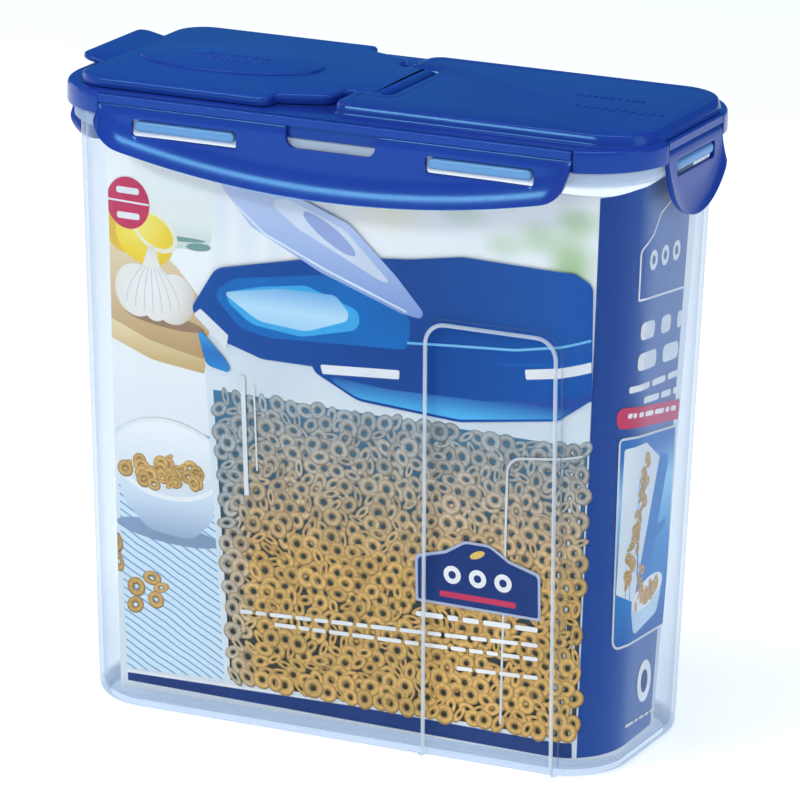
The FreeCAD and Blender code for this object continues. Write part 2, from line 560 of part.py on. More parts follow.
def make_latch(side, turn, reach, centres):
    """Latch: plate with a rounded hinge edge, slots over the lugs and a flared, bowed lower edge."""
    kind = "long" if len(centres) > 1 else "end"
    span, low, bow, corner = (f"{kind}_half_span", f"{kind}_lowest", f"{kind}_bow", f"{kind}_corner")
    flare, slot_half = f"{kind}_flare", f"{kind}_slot_half"
    inner = f"{reach} - pocket_deep + running_gap"
    outer = f"{inner} + 2 * latch_round"
    section = polygon(f"latch_{side}_section", (
        (inner, "latch_axis"), (outer, "latch_axis"), (outer, "flare_start"), (f"{outer} + {flare}", low),
        (f"{inner} + {flare} + 0.4", low), (inner, "flare_start - 1")))
    stand(section, -Y_AXIS, -X_AXIS)
    plate = extrusion(f"latch_{side}_plate", section, f"2 * {span}", symmetric=True)
    outline = bowed_outline(f"latch_{side}_outline", span, "latch_axis", low, bow, corner)
    stand(outline, X_AXIS, -Y_AXIS)
    front = extrusion(f"latch_{side}_front", outline, "rim_half_length * 2")
    blank = common(f"latch_{side}_blank", plate, front)
    edge = rod(f"latch_{side}_edge", "latch_round", f"2 * {span}", f"-{span}", f"-({inner} + latch_round)",
               "latch_axis", X_AXIS)
    openings = []
    for k, centre in enumerate(centres):
        slot = block(f"latch_{side}_slot_{k}", f"2 * {slot_half}", "20", "slot_top - slot_bottom",
                     f"{centre} - {slot_half}", f"-({reach} + 10)", "slot_bottom")
        openings.append(rounded(f"latch_{side}_slot_{k}_soft", slot, "slot_corner", straight_along(Y_AXIS)))
    if kind == "long":
        notch = block(f"latch_{side}_notch", "2 * notch_half_width", "20", "20", "-notch_half_width",
                      f"-({reach} + 10)", "notch_bottom")
        openings.append(rounded(f"latch_{side}_notch_soft", notch, "notch_chamfer", lambda e:
                                straight_along(Y_AXIS)(e) and e.BoundBox.ZMax < value("notch_bottom + 1")))
    latch = cut(f"latch_{side}", fuse(f"latch_{side}_mass", blank, edge), *openings)
    latch.Placement = Placement(Vector(), Rotation(Z_AXIS, turn))
    return latch


def make_label_card():
    """Printed card inside the tub: a front panel that bends round the corner onto the right-hand end."""
    beyond_left, beyond_rear = "150", "60"
    spans = []
    for level in ("card_bottom", "card_top"):
        share = f"{level} / shoulder_level"
        front = f"(base_half_depth + (shoulder_half_depth - base_half_depth) * {share} - card_back)"
        end = f"(base_half_length + (shoulder_half_length - base_half_length) * {share} - card_side)"
        spans.append((level, end, front))
    shells = []
    for face, inset in (("outer", "0"), ("inner", "card_thick")):
        plans = []
        for level, end, front in spans:
            outline = rounded_rectangle(f"card_{face}_{level}", f"({end} + {beyond_left}) / 2 - {inset}",
                                        f"({front} + {beyond_rear}) / 2 - {inset}", f"card_corner - {inset}")
            middle = (f"({end} - {beyond_left}) / 2", f"({beyond_rear} - {front}) / 2")
            plans.append(place(outline, *middle, level))
        shell = DOC.addObject("Part::Loft", f"card_{face}")
        shell.Sections = plans
        shell.Solid = True
        shell.Ruled = True
        shells.append(shell)
    roof = "card_top + 1"
    end_view = polygon("card_end_view", (("0", "0"), ("100 + card_end_low", "0"),
                                         ("100 + card_end_high", roof), ("0", roof)))
    place(stand(end_view, Y_AXIS, X_AXIS), "-150", "-100", "0")
    front_view = polygon("card_front_view", (("200 - card_left_low", "0"), ("400", "0"), ("400", roof),
                                             ("200 - card_left_high", roof)))
    place(stand(front_view, X_AXIS, -Y_AXIS), "-200", "100", "0")
    return common("label_card", cut("card_sheet", *shells), extrusion("card_end_cut", end_view, "300"),
                  extrusion("card_front_cut", front_view, "200"))


SIDES = (
    ("front", 0, "rim_half_depth", ("-slot_centre", "slot_centre")),
    ("rear", 180, "rim_half_depth", ("-slot_centre", "slot_centre")),
    ("left", -90, "rim_half_length", ("0",)),
    ("right", 90, "rim_half_length", ("0",)),
)


def build():
    """All sub-parts, by node name."""
    parts = {
        "container": make_container(),
        "label_card": make_label_card(),
        "lid_frame": make_lid_frame(),
        "lid_gasket": make_lid_gasket(),
        "flap": make_flap(),
        "flap_pins": make_flap_pins(),
        "flap_seal": make_flap_seal(),
    }
    for side, turn, reach, centres in SIDES:
        span = "long_half_span" if len(centres) > 1 else "end_half_span"
        parts[f"lock_lugs_{side}"] = make_lugs(side, turn, reach, centres)
        parts[f"hinge_strip_{side}"] = make_hinge_strip(side, turn, reach, span)
        parts[f"latch_{side}"] = make_latch(side, turn, reach, centres)
    DOC.recompute()
    return parts


def check(parts):
    """Stop on any failed object or unsound sub-part."""
    for item in DOC.Objects:
        if "Invalid" in item.State or "Error" in item.State:
            raise RuntimeError(f"{item.Name} failed: {item.State}")
    for label, solid in parts.items():
        if solid.Shape.isNull() or not solid.Shape.isValid() or not solid.Shape.Solids:
            raise RuntimeError(f"{label} has no sound solid")


def write(parts):
    """One STEP file per sub-part."""
    os.makedirs("parts", exist_ok=True)
    for label, solid in parts.items():
        solid.Label = label
        solid.Shape.exportStep(f"parts/{label}.step")
        print(f"{label}: {solid.Shape.Volume / 1000:.2f} cm3, {len(solid.Shape.Solids)} solid(s)")


def report_capacity():
    """What the tub holds up to the top of its neck, in litres."""
    hollow = DOC.getObject("tub_hollow").Shape
    spill = Part.makeBox(300, 200, 50, Vector(-150, -100, value("neck_top")))
    print(f"capacity to the brim: {hollow.cut(spill).Volume / 1e6:.2f} L")


PARTS = build()
check(PARTS)
write(PARTS)
report_capacity()
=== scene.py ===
"""Looks of the cereal dispenser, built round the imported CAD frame.

Sizes are in millimetres in the row frame: +Z up, pouring end at -X, the label's long panel at -Y.
add_mesh turns them into metres.
"""

import math
import random

import bmesh
import bpy
from mathutils import Matrix, Vector


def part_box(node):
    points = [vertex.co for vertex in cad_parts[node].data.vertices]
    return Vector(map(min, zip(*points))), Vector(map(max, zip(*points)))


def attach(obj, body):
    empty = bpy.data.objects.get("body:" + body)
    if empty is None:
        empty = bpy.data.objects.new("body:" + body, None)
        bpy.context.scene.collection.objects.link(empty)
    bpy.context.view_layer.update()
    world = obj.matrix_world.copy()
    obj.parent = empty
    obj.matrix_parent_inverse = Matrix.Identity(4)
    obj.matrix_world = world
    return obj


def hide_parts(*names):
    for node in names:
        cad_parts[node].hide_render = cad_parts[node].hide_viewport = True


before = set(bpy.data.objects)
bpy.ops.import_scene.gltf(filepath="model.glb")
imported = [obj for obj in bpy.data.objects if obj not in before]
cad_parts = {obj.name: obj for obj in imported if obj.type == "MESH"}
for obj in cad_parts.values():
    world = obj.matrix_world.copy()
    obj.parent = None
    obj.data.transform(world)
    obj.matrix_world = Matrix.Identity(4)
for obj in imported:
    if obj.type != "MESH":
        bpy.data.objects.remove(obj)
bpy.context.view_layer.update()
MM = 0.001
rng = random.Random(39)


def cad_box(node):
    """Lowest and highest corner of a CAD node, in millimetres."""
    low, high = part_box(node)
    return low / MM, high / MM


LID_LOW, LID_HIGH = cad_box("lid_frame")
CARD_LOW, CARD_HIGH = cad_box("label_card")

# tub
BASE_HALF = (105.0, 43.5)
BASE_CORNER = 25.0
SHOULDER_HALF = (111.2, 49.6)
SHOULDER_CORNER = 27.0
SHOULDER = 218.5
BAND_HALF = (113.5, 51.6)
BAND_CORNER = 29.0
BAND_TOP = 223.5
NECK_HALF = (111.7, 49.8)
NECK_CORNER = 27.0
NECK_TOP = cad_box("container")[1].z
WALL = 1.6
FLOOR = 2.2
BASE_EDGE = 4.0
GRIP_X = (34.7, 84.7)
GRIP_TOP = 162.0
GRIP_CORNER = 7.5
GRIP_SUNK = 3.0

# lid
RIM_HALF = (116.0, 54.1)
RIM_CORNER = 31.0
RIM_LOW = LID_LOW.z
PLATFORM = 232.0
DECK_TOP = LID_HIGH.z
POCKET_DEEP = 2.1
POCKET_SPARE = 0.5
CHANNEL = ((112.3, 50.4, 27.6), (109.5, 47.6, 24.8))
DECK_CENTRE = (60.4, 0)
TROUGH = 230.2
BAY_X = 7.2
MOUTH_X = -65.5
MOUTH_HALF = (31.5, 36.0)
MOUTH_CORNER = 15.0
PIN_X, PIN_Z = 2.6, 233.2
EAR_X, EAR_INNER = -6.0, 22.0

# latches
LATCH_THICK = 1.8
LATCH_AXIS = 227.4
LATCH_TOP = 228.2
RUNNING_GAP = 0.3
NOTCH_HALF, NOTCH_LOW = 17.4, 220.5
SLOT_Z = (217.7, 223.9)
SLOT_X = 57.2
LUG_Z = (219.4, 223.4)
LONG = {"half_span": 91.4, "lowest": cad_box("latch_front")[0].z, "bow": 385.0, "corner": 12.0, "flare": 3.95,
        "slot_half": 20.6, "lug_half": 19.8, "centres": (-SLOT_X, SLOT_X)}
SHORT = {"half_span": 24.5, "lowest": cad_box("latch_right")[0].z, "bow": 31.0, "corner": 5.0, "flare": 1.95,
         "slot_half": 17.2, "lug_half": 16.4, "centres": (0.0,)}
SIDES = (("front", 0, RIM_HALF[1], LONG), ("rear", 180, RIM_HALF[1], LONG),
         ("left", -90, RIM_HALF[0], SHORT), ("right", 90, RIM_HALF[0], SHORT))

# card
CARD_BEND = 20.0
CARD_THICK = 0.5


# ---------------------------------------------------------------- mesh helpers

def add_mesh(name, points, faces, material):
    """A mesh object from points in millimetres, with its faces turned outwards."""
    mesh = bpy.data.meshes.new(name)
    mesh.from_pydata([Vector(point) * MM for point in points], [], faces)
    work = bmesh.new()
    work.from_mesh(mesh)
    bmesh.ops.remove_doubles(work, verts=work.verts, dist=0.002 * MM)
    bmesh.ops.recalc_face_normals(work, faces=work.faces)
    work.to_mesh(mesh)
    work.free()
    mesh.materials.append(material)
    piece = bpy.data.objects.new(name, mesh)
    bpy.context.scene.collection.objects.link(piece)
    return shade(piece)


def shade(piece, angle=33):
    """Smooth shading, broken where faces meet at more than an angle."""
    piece.data.shade_smooth()
    piece.data.set_sharp_from_angle(angle=math.radians(angle))
    return piece


def settle(piece, angle=33):
    """Make the modifiers' result the piece's own mesh."""
    bpy.context.view_layer.update()
    whole = piece.evaluated_get(bpy.context.evaluated_depsgraph_get())
    before = piece.data
    piece.data = bpy.data.meshes.new_from_object(whole)
    piece.modifiers.clear()
    bpy.data.meshes.remove(before)
    return shade(piece, angle)


def combine(piece, others, operation):
    """Cut other pieces out of a piece, or join them to it."""
    for other in others:
        step = piece.modifiers.new("combine", "BOOLEAN")
        step.operation = operation
        step.solver = "EXACT"
        step.object = other
    settle(piece)
    for other in others:
        mesh = other.data
        bpy.data.objects.remove(other)
        bpy.data.meshes.remove(mesh)
    return piece


def soften(piece, width, angle=38, segments=3):
    """Round every edge sharper than an angle."""
    step = piece.modifiers.new("soften", "BEVEL")
    step.width = width * MM
    step.segments = segments
    step.limit_method = "ANGLE"
    step.angle_limit = math.radians(angle)
    return settle(piece)


def corner_arc(before, corner, after, radius, steps):
    """Points of the arc that rounds one corner of an outline."""
    corner = Vector(corner)
    to_before = Vector(before) - corner
    to_after = Vector(after) - corner
    ways = to_before.normalized(), to_after.normalized()
    half = ways[0].angle(ways[1]) / 2
    reach = min(radius / math.tan(half), 0.499 * to_before.length, 0.499 * to_after.length)
    radius = reach * math.tan(half)
    centre = corner + (ways[0] + ways[1]).normalized() * (radius / math.sin(half))
    start = corner + ways[0] * reach - centre
    end = corner + ways[1] * reach - centre
    first = math.atan2(start.y, start.x)
    turn = math.atan2(start.cross(end), start.dot(end))
    angles = [first + turn * k / steps for k in range(steps + 1)]
    return [centre + Vector((math.cos(a), math.sin(a))) * radius for a in angles]


def outline(corners, steps=8):
    """Closed outline through corners, each (u, v, radius), running anticlockwise."""
    ring = []
    count = len(corners)
    for k, (u, v, radius) in enumerate(corners):
        if radius:
            ring += corner_arc(corners[k - 1][:2], (u, v), corners[(k + 1) % count][:2], radius, steps)
        else:
            ring.append(Vector((u, v)))
    return ring


def rounded_box(half_u, half_v, radius, middle=(0.0, 0.0), steps=8):
    """Rounded rectangle about a middle point."""
    u, v = middle
    return outline([(u + half_u, v - half_v, radius), (u + half_u, v + half_v, radius),
                    (u - half_u, v + half_v, radius), (u - half_u, v - half_v, radius)], steps)


def ellipse(half_u, half_v, middle=(0.0, 0.0), count=64, turn=0.0):
    """Ellipse about a middle point, turned by an angle in degrees."""
    ring = []
    tilt = Matrix.Rotation(math.radians(turn), 2)
    for k in range(count):
        angle = 2 * math.pi * k / count
        ring.append(Vector(middle) + tilt @ Vector((half_u * math.cos(angle), half_v * math.sin(angle))))
    return ring


def moved_in(ring, amount):
    """An anticlockwise outline moved inwards."""
    moved = []
    count = len(ring)
    for k, here in enumerate(ring):
        came = (here - ring[k - 1]).normalized()
        goes = (ring[(k + 1) % count] - here).normalized()
        inward = Vector((-came.y - goes.y, came.x + goes.x)).normalized()
        share = max(0.35, inward.dot(Vector((-came.y, came.x))))
        moved.append(here + inward * (amount / share))
    return moved


def upright(u, v, w):
    """Outline in plan, profile along Z."""
    return (u, v, w)


def facing_front(u, v, w):
    """Outline in the XZ plane, profile towards -Y."""
    return (u, -w, v)


def loft(name, rings, material, caps=True):
    """Surface through rings of equally many points; without caps the last ring joins the first."""
    count = len(rings[0])
    points = [point for ring in rings for point in ring]
    total = len(points)
    faces = []
    spans = len(rings) - 1 if caps else len(rings)
    for level in range(spans):
        low = level * count
        high = (low + count) % total
        for k in range(count):
            after = (k + 1) % count
            faces.append((low + k, low + after, high + after, high + k))
    if caps:
        faces.append(tuple(reversed(range(count))))
        faces.append(tuple(range(total - count, total)))
    return add_mesh(name, points, faces, material)


def profiled(name, ring, profile, material, place=upright, caps=True):
    """Solid whose outline follows a profile of (inset, level) pairs."""
    rings = [[place(p.x, p.y, level) for p in moved_in(ring, inset)] for inset, level in profile]
    return loft(name, rings, material, caps)


def round_over(inset, top, radius, steps=5):
    """Profile of a rounded upper edge, from its vertical side to its flat top."""
    angles = [math.pi / 2 * k / steps for k in range(steps + 1)]
    return [(inset + radius * (1 - math.cos(a)), top - radius * (1 - math.sin(a))) for a in angles]


def round_under(inset, low, radius, steps=5):
    """Profile of a rounded lower edge, from its flat underside to its vertical side."""
    angles = [math.pi / 2 * k / steps for k in range(steps + 1)]
    return [(inset + radius * (1 - math.sin(a)), low + radius * (1 - math.cos(a))) for a in angles]


def cutter(name, ring, low, high, place=upright):
    """Plain prism to cut with."""
    return profiled(name, ring, [(0, low), (0, high)], None, place)


def turned(piece, degrees):
    """Turn a finished mesh about the Z axis."""
    piece.data.transform(Matrix.Rotation(math.radians(degrees), 4, "Z"))
    return piece


def belongs(piece, body, slot, *replaced):
    """Tie a piece to its body, and hide the CAD nodes that it stands for; its material slot is not used."""
    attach(piece, body)
    if replaced:
        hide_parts(*replaced)
    return piece


# ---------------------------------------------------------------- materials

class Shader:
    """Short forms for building one material's nodes."""

    def __init__(self, name):
        self.material = bpy.data.materials.new(name)
        self.material.use_nodes = True
        self.nodes = self.material.node_tree.nodes
        self.links = self.material.node_tree.links
        self.bsdf = self.nodes["Principled BSDF"]
        self.output = self.nodes["Material Output"]

    def add(self, kind, **inputs):
        """A node with plain values on its inputs; other keywords are set as properties."""
        node = self.nodes.new(kind)
        for key, given in inputs.items():
            title = key.replace("_", " ")
            if title in node.inputs:
                node.inputs[title].default_value = given
            else:
                setattr(node, key, given)
        return node

    def link(self, source, target):
        self.links.new(source, target)

    def where(self):
        """Position on the piece, in metres."""
        return self.add("ShaderNodeTexCoord").outputs["Object"]

    def noise(self, scale, detail=2.0):
        node = self.add("ShaderNodeTexNoise", Scale=scale, Detail=detail)
        self.link(self.where(), node.inputs["Vector"])
        return node.outputs["Fac"]

    def spread(self, factor, low, high):
        """Map a 0 to 1 factor onto a range."""
        node = self.add("ShaderNodeMapRange")
        node.inputs["To Min"].default_value = low
        node.inputs["To Max"].default_value = high
        self.link(factor, node.inputs["Value"])
        return node.outputs["Result"]

    def ramp(self, factor, *stops):
        """Colour ramp through (position, colour) stops."""
        node = self.add("ShaderNodeValToRGB")
        line = node.color_ramp.elements
        while len(line) < len(stops):
            line.new(0.5)
        for element, (position, colour) in zip(line, stops):
            element.position = position
            element.color = (*colour, 1)
        self.link(factor, node.inputs["Fac"])
        return node.outputs["Color"]

    def bump(self, factor, height, strength=0.5):
        """Small relief, its height in millimetres."""
        node = self.add("ShaderNodeBump", Strength=strength)
        node.inputs["Distance"].default_value = height * MM
        self.link(factor, node.inputs["Height"])
        self.link(node.outputs["Normal"], self.bsdf.inputs["Normal"])

    def set(self, **inputs):
        for key, given in inputs.items():
            self.bsdf.inputs[key.replace("_", " ")].default_value = given


def shift(colour, factor):
    """A lighter or darker tone of a colour."""
    return tuple(min(1.0, part * factor) for part in colour)


def moulded(name, colour, roughness, grain=0.02, tint=(1.0, 1.0, 1.0), gloss=0.5):
    """Injection-moulded plastic: faint flow marks in colour and gloss, and a fine skin."""
    shader = Shader(name)
    flow = shader.noise(18.0, 3.0)
    shader.link(shader.ramp(flow, (0.3, shift(colour, 0.9)), (0.7, shift(colour, 1.1))),
                shader.bsdf.inputs["Base Color"])
    shader.link(shader.spread(shader.noise(140.0), roughness * 0.85, roughness * 1.15),
                shader.bsdf.inputs["Roughness"])
    shader.bump(shader.noise(900.0, 3.0), grain)
    shader.set(IOR=1.5, Specular_IOR_Level=gloss, Specular_Tint=(*tint, 1))
    return shader


def printed(name, colour, second=None, scale=60.0):
    """Ink on card: two close tones in a fine mottle, with a satin laminate."""
    shader = Shader(name)
    second = second or shift(colour, 0.88)
    shader.link(shader.ramp(shader.noise(scale, 3.0), (0.35, second), (0.65, colour)),
                shader.bsdf.inputs["Base Color"])
    shader.set(Roughness=0.55, Specular_IOR_Level=0.12)
    return shader.material


def see_through(name, colour, facing, edge, roughness, bands=()):
    """Translucent plastic: mostly clear face on, milky where the wall is seen edge on or is thick.

    bands: (level from, level to, share) of the heights where the plastic is thick, in millimetres.
    """
    shader = Shader(name)
    shader.link(shader.ramp(shader.noise(25.0, 3.0), (0.3, shift(colour, 0.93)), (0.7, shift(colour, 1.05))),
                shader.bsdf.inputs["Base Color"])
    shader.bump(shader.noise(700.0, 3.0), 0.015, 0.3)
    shader.set(Roughness=roughness, IOR=1.49)
    clear = shader.add("ShaderNodeBsdfTransparent", Color=(0.975, 0.988, 0.995, 1))
    weight = shader.add("ShaderNodeLayerWeight", Blend=0.35)
    curve = shader.add("ShaderNodeMath", operation="POWER")
    curve.inputs[1].default_value = 2.6
    shader.link(weight.outputs["Facing"], curve.inputs[0])
    share = shader.spread(curve.outputs["Value"], facing, edge)
    parts = shader.add("ShaderNodeSeparateXYZ")
    shader.link(shader.where(), parts.inputs["Vector"])
    for start, end, thick in bands:
        rise = shader.add("ShaderNodeMapRange", interpolation_type="SMOOTHSTEP")
        rise.inputs["From Min"].default_value = start * MM
        rise.inputs["From Max"].default_value = end * MM
        rise.inputs["To Max"].default_value = thick
        shader.link(parts.outputs["Z"], rise.inputs["Value"])
        more = shader.add("ShaderNodeMath", operation="MAXIMUM")
        shader.link(share, more.inputs[0])
        shader.link(rise.outputs["Result"], more.inputs[1])
        share = more.outputs["Value"]
    mix = shader.add("ShaderNodeMixShader")
    shader.link(share, mix.inputs["Fac"])
    shader.link(clear.outputs["BSDF"], mix.inputs[1])
    shader.link(shader.bsdf.outputs["BSDF"], mix.inputs[2])
    shader.link(mix.outputs["Shader"], shader.output.inputs["Surface"])
    return shader.material


LID_BLUE = moulded("lid_blue", (0.012, 0.040, 0.31), 0.17, 0.010, (0.25, 0.75, 1.0), 0.42).material
FLAP_BLUE = moulded("flap_blue", (0.012, 0.048, 0.33), 0.19, 0.010, (0.25, 0.75, 1.0), 0.42).material
TUB_CLEAR = see_through("tub_clear", (0.38, 0.52, 0.70), 0.010, 0.92, 0.16,
                        ((6.5, 3.0, 0.46), (216.5, 219.5, 0.6)))
LUG_MILKY = see_through("lug_milky", (0.12, 0.36, 0.72), 0.80, 0.95, 0.18)
# Grip edge bead: pale and nearly opaque, partly the real milkiness of thick plastic and partly a painted
# highlight along the recess edge.
GRIP_EDGE_MILK_AND_HIGHLIGHT = see_through("grip_edge", (0.80, 0.87, 0.93), 0.45, 0.8, 0.15)
SILICONE = moulded("silicone", (0.78, 0.81, 0.83), 0.55, 0.02).material


# ---------------------------------------------------------------- tub

def tub_half(z):
    """Outer half length, half depth and corner radius of the tub's wall at a level."""
    share = z / SHOULDER
    length = BASE_HALF[0] + (SHOULDER_HALF[0] - BASE_HALF[0]) * share
    depth = BASE_HALF[1] + (SHOULDER_HALF[1] - BASE_HALF[1]) * share
    return length, depth, BASE_CORNER + (SHOULDER_CORNER - BASE_CORNER) * share


def tub_ring(half_u, half_v, radius, inset, z):
    """Rounded rectangle at a level, moved in."""
    ring = rounded_box(half_u - inset, half_v - inset, radius - inset, steps=12)
    return [upright(p.x, p.y, z) for p in ring]


def grip_arch(margin):
    """Outline of a grip recess in the XZ plane, open below the tub's base."""
    left, right, top = GRIP_X[0] - margin, GRIP_X[1] + margin, GRIP_TOP + margin
    below = -10.0
    return outline([(right, below, 0), (right, top, GRIP_CORNER + margin),
                    (left, top, GRIP_CORNER + margin), (left, below, 0)], 8)


def grip_block(name, margin, outer, inner, side):
    """Arch-topped block between two distances behind the outer wall face."""
    ring = grip_arch(margin)
    sections = []
    for behind in (outer, inner):
        sections.append([(p.x, -side * (tub_half(p.y)[1] - behind), p.y) for p in ring])
    return loft(name, sections, None)


def make_tub():
    """Tub: rounded base, drafted walls, flange band, neck and both grip recesses."""
    rings = []
    for inset, z in round_under(0, 0, BASE_EDGE, 7):
        rings.append(tub_ring(*tub_half(z), inset, z))
    rings.append(tub_ring(*tub_half(SHOULDER - 1.5), 0, SHOULDER - 1.5))
    rings.append(tub_ring(*tub_half(SHOULDER), -0.8, SHOULDER))
    edge = 0.8
    for inset, z in round_under(0, SHOULDER, edge) + round_over(0, BAND_TOP, edge):
        rings.append(tub_ring(*BAND_HALF, BAND_CORNER, inset, z))
    rings.append(tub_ring(*NECK_HALF, NECK_CORNER, -0.2, BAND_TOP))
    rings.append(tub_ring(*NECK_HALF, NECK_CORNER, 0, BAND_TOP + 0.3))
    for inset, z in round_over(0, NECK_TOP, 0.7, 3):
        rings.append(tub_ring(*NECK_HALF, NECK_CORNER, inset, z))
    for inset, z in ((1.3, NECK_TOP - 0.2), (WALL, NECK_TOP - 0.7), (WALL, SHOULDER + 1.5)):
        rings.append(tub_ring(*NECK_HALF, NECK_CORNER, inset, z))
    rings.append(tub_ring(*tub_half(SHOULDER), WALL, SHOULDER - 0.5))
    for inset, z in reversed(round_under(WALL, FLOOR, 3.0)):
        rings.append(tub_ring(*tub_half(z), inset, z))
    tub = loft("tub", rings, TUB_CLEAR)
    backs, grips = [], []
    for side in (1, -1):
        backs.append(grip_block(f"grip_back_{side}", WALL, WALL / 2, GRIP_SUNK + WALL, side))
        grips.append(grip_block(f"grip_{side}", 0, -6.0, GRIP_SUNK, side))
    floor_trim = cutter("floor_trim", rounded_box(150, 100, 5), -20, 0.0)
    combine(backs[0], [backs[1]], "UNION")
    combine(backs[0], [floor_trim], "DIFFERENCE")
    combine(tub, [backs[0]], "UNION")
    combine(tub, grips, "DIFFERENCE")
    soften(tub, 0.9, 40)
    return belongs(tub, "container", "tub_plastic", "container")


def make_grip_edges():
    """Rounded edge of each grip recess, thicker and milkier than the wall; its pale, nearly opaque colour is
    partly that milkiness and partly a painted highlight along the edge.
    """
    radius, steps = 0.75, 8
    for side, label in ((1, "front"), (-1, "rear")):
        path = [p for p in grip_arch(0) if p.y >= 0.0]
        path = [Vector((GRIP_X[1], 3.0)), *path, Vector((GRIP_X[0], 3.0))]
        rings = []
        for k, here in enumerate(path):
            way = (path[min(k + 1, len(path) - 1)] - path[max(k - 1, 0)]).normalized()
            across = Vector((-way.y, way.x))
            middle = -side * (tub_half(here.y)[1] - 0.85)
            rings.append([(here.x + across.x * radius * math.cos(a), middle + radius * math.sin(a),
                           here.y + across.y * radius * math.cos(a))
                          for a in [2 * math.pi * n / steps for n in range(steps)]])
        belongs(loft(f"grip_edge_{label}", rings, GRIP_EDGE_MILK_AND_HIGHLIGHT), "container", "tub_plastic")


def make_lugs(side, turn, reach, kind):
    """Lock lugs of one side: short bars with rounded faces and ends."""
    tall = (LUG_Z[1] - LUG_Z[0]) / 2
    middle = (LUG_Z[1] + LUG_Z[0]) / 2
    root = reach - 2.6
    for k, centre in enumerate(kind["centres"]):
        ring = rounded_box(kind["lug_half"], tall, 1.9, (centre, middle), 6)
        profile = [(0, root)] + round_over(0, root + 2.8, 1.3, 5)
        lug = profiled(f"lug_{side}_{k}", ring, profile, LUG_MILKY, facing_front)
        turned(lug, turn)
        replaced = [f"lock_lugs_{side}"] if k == 0 else []
        belongs(lug, "container", "lug_plastic", *replaced)


# ---------------------------------------------------------------- lid

def make_rim():
    """Lid moulding: rolled rim, skirt, hinge pockets, channel, platform and pour opening."""
    ring = rounded_box(*RIM_HALF, RIM_CORNER, steps=16)
    profile = round_under(0, RIM_LOW, 0.5, 3) + round_over(0, PLATFORM, 1.8, 6)
    rim = profiled("lid_rim", ring, profile, LID_BLUE)
    cuts = [
        cutter("channel", rounded_box(*CHANNEL[0], steps=12), RIM_LOW - 5, PLATFORM - 2),
        cutter("mouth", rounded_box(*MOUTH_HALF, MOUTH_CORNER, (MOUTH_X, 0)), 220, 240),
        cutter("trough", rounded_box(4.2, EAR_INNER, 0, (BAY_X - 4.2, 0)), TROUGH, 240),
        cutter("deck_hollow", rounded_box(51.0, 39.3, 15.0, DECK_CENTRE), 220, 240),
    ]
    for side, turn, reach, kind in SIDES:
        block = rounded_box(kind["half_span"] + POCKET_SPARE, 5, 0, (0, POCKET_DEEP - reach - 5))
        cuts.append(turned(cutter(f"pocket_{side}", block, 215, 240), turn))
    combine(rim, cuts, "DIFFERENCE")
    soften(rim, 0.45, 40)
    belongs(rim, "lid", "lid_plastic", "lid_frame")
    boss = profiled("lid_trough_floor", rounded_box(6.0, 24.0, 2.0, (3.0, 0.0)),
                    round_under(0, TROUGH - 2.7, 0.4, 3) + [(0, TROUGH)], LID_BLUE)
    belongs(boss, "lid", "lid_plastic")
    plug = [(0, TROUGH), (0, 225.2), (0.4, 224.6), (1.0, 224.6), (1.4, 225.2), (1.4, TROUGH)]
    lip = [(0, 226.3), (0, 232.8), (-0.4, 233.2), (-1.2, 233.2), (-1.6, 232.8), (-1.6, 226.3), (-0.8, 226.0)]
    for name, ring, section in (("plug_wall", rounded_box(*CHANNEL[1], steps=12), plug),
                                ("spout_lip", rounded_box(*MOUTH_HALF, MOUTH_CORNER, (MOUTH_X, 0)), lip)):
        belongs(profiled(f"lid_{name}", ring, section, LID_BLUE, caps=False), "lid", "lid_plastic")


def deck_outline():
    """Deck in plan, with the flap's tongue bay between two ears."""
    right, half = 113.6, 43.5
    return outline([(right, -half, 19), (right, half, 19), (EAR_X, half, 7), (EAR_X, EAR_INNER, 2.6),
                    (BAY_X, EAR_INNER, 1.2), (BAY_X, -EAR_INNER, 1.2), (EAR_X, -EAR_INNER, 2.6),
                    (EAR_X, -half, 7)], 9)


def make_deck():
    """Raised deck: stepped and rounded edge, hollow underneath, with a bead and rows of blank marks."""
    profile = [(-0.35, 231.9), (-0.3, 232.05), (0.0, 232.35), (0.12, 232.9), (0.45, 233.9), (0.75, 234.7)]
    profile += [(inset, z) for inset, z in round_over(0.8, DECK_TOP, 1.5, 6)][1:]
    deck = profiled("lid_deck", deck_outline(), profile, LID_BLUE)
    combine(deck, [cutter("deck_hollow", rounded_box(50.9, 39.2, 15.0, DECK_CENTRE), 220, 234.0)],
            "DIFFERENCE")
    belongs(deck, "lid", "lid_plastic")
    bead = profiled("lid_deck_bead", moved_in(deck_outline(), 4.6), bead_section(DECK_TOP), LID_BLUE,
                    caps=False)
    belongs(bead, "lid", "lid_plastic")
    rows = ((65.0, 27.0, 10.5, 3.0, 1.6), (70.0, 36.0, -5.6, 3.6, 2.0))
    for k, (start, length, y, pitch, tall) in enumerate(rows):
        for n in range(round(length / pitch)):
            middle = (start + pitch * (n + 0.5), y)
            mark = profiled(f"deck_mark_{k}_{n}", rounded_box(0.36 * pitch, tall, 0.5, middle, 3),
                            [(0, DECK_TOP - 0.3)] + round_over(0, DECK_TOP + 0.25, 0.2, 2), LID_BLUE)
            belongs(mark, "lid", "lid_plastic")


def bead_section(top):
    """Section of a low half-round bead on a face."""
    return [(0.45, top - 0.2), (0.4, top + 0.02), (0.18, top + 0.12), (-0.18, top + 0.12), (-0.4, top + 0.02),
            (-0.45, top - 0.2)]


# ---------------------------------------------------------------- flap

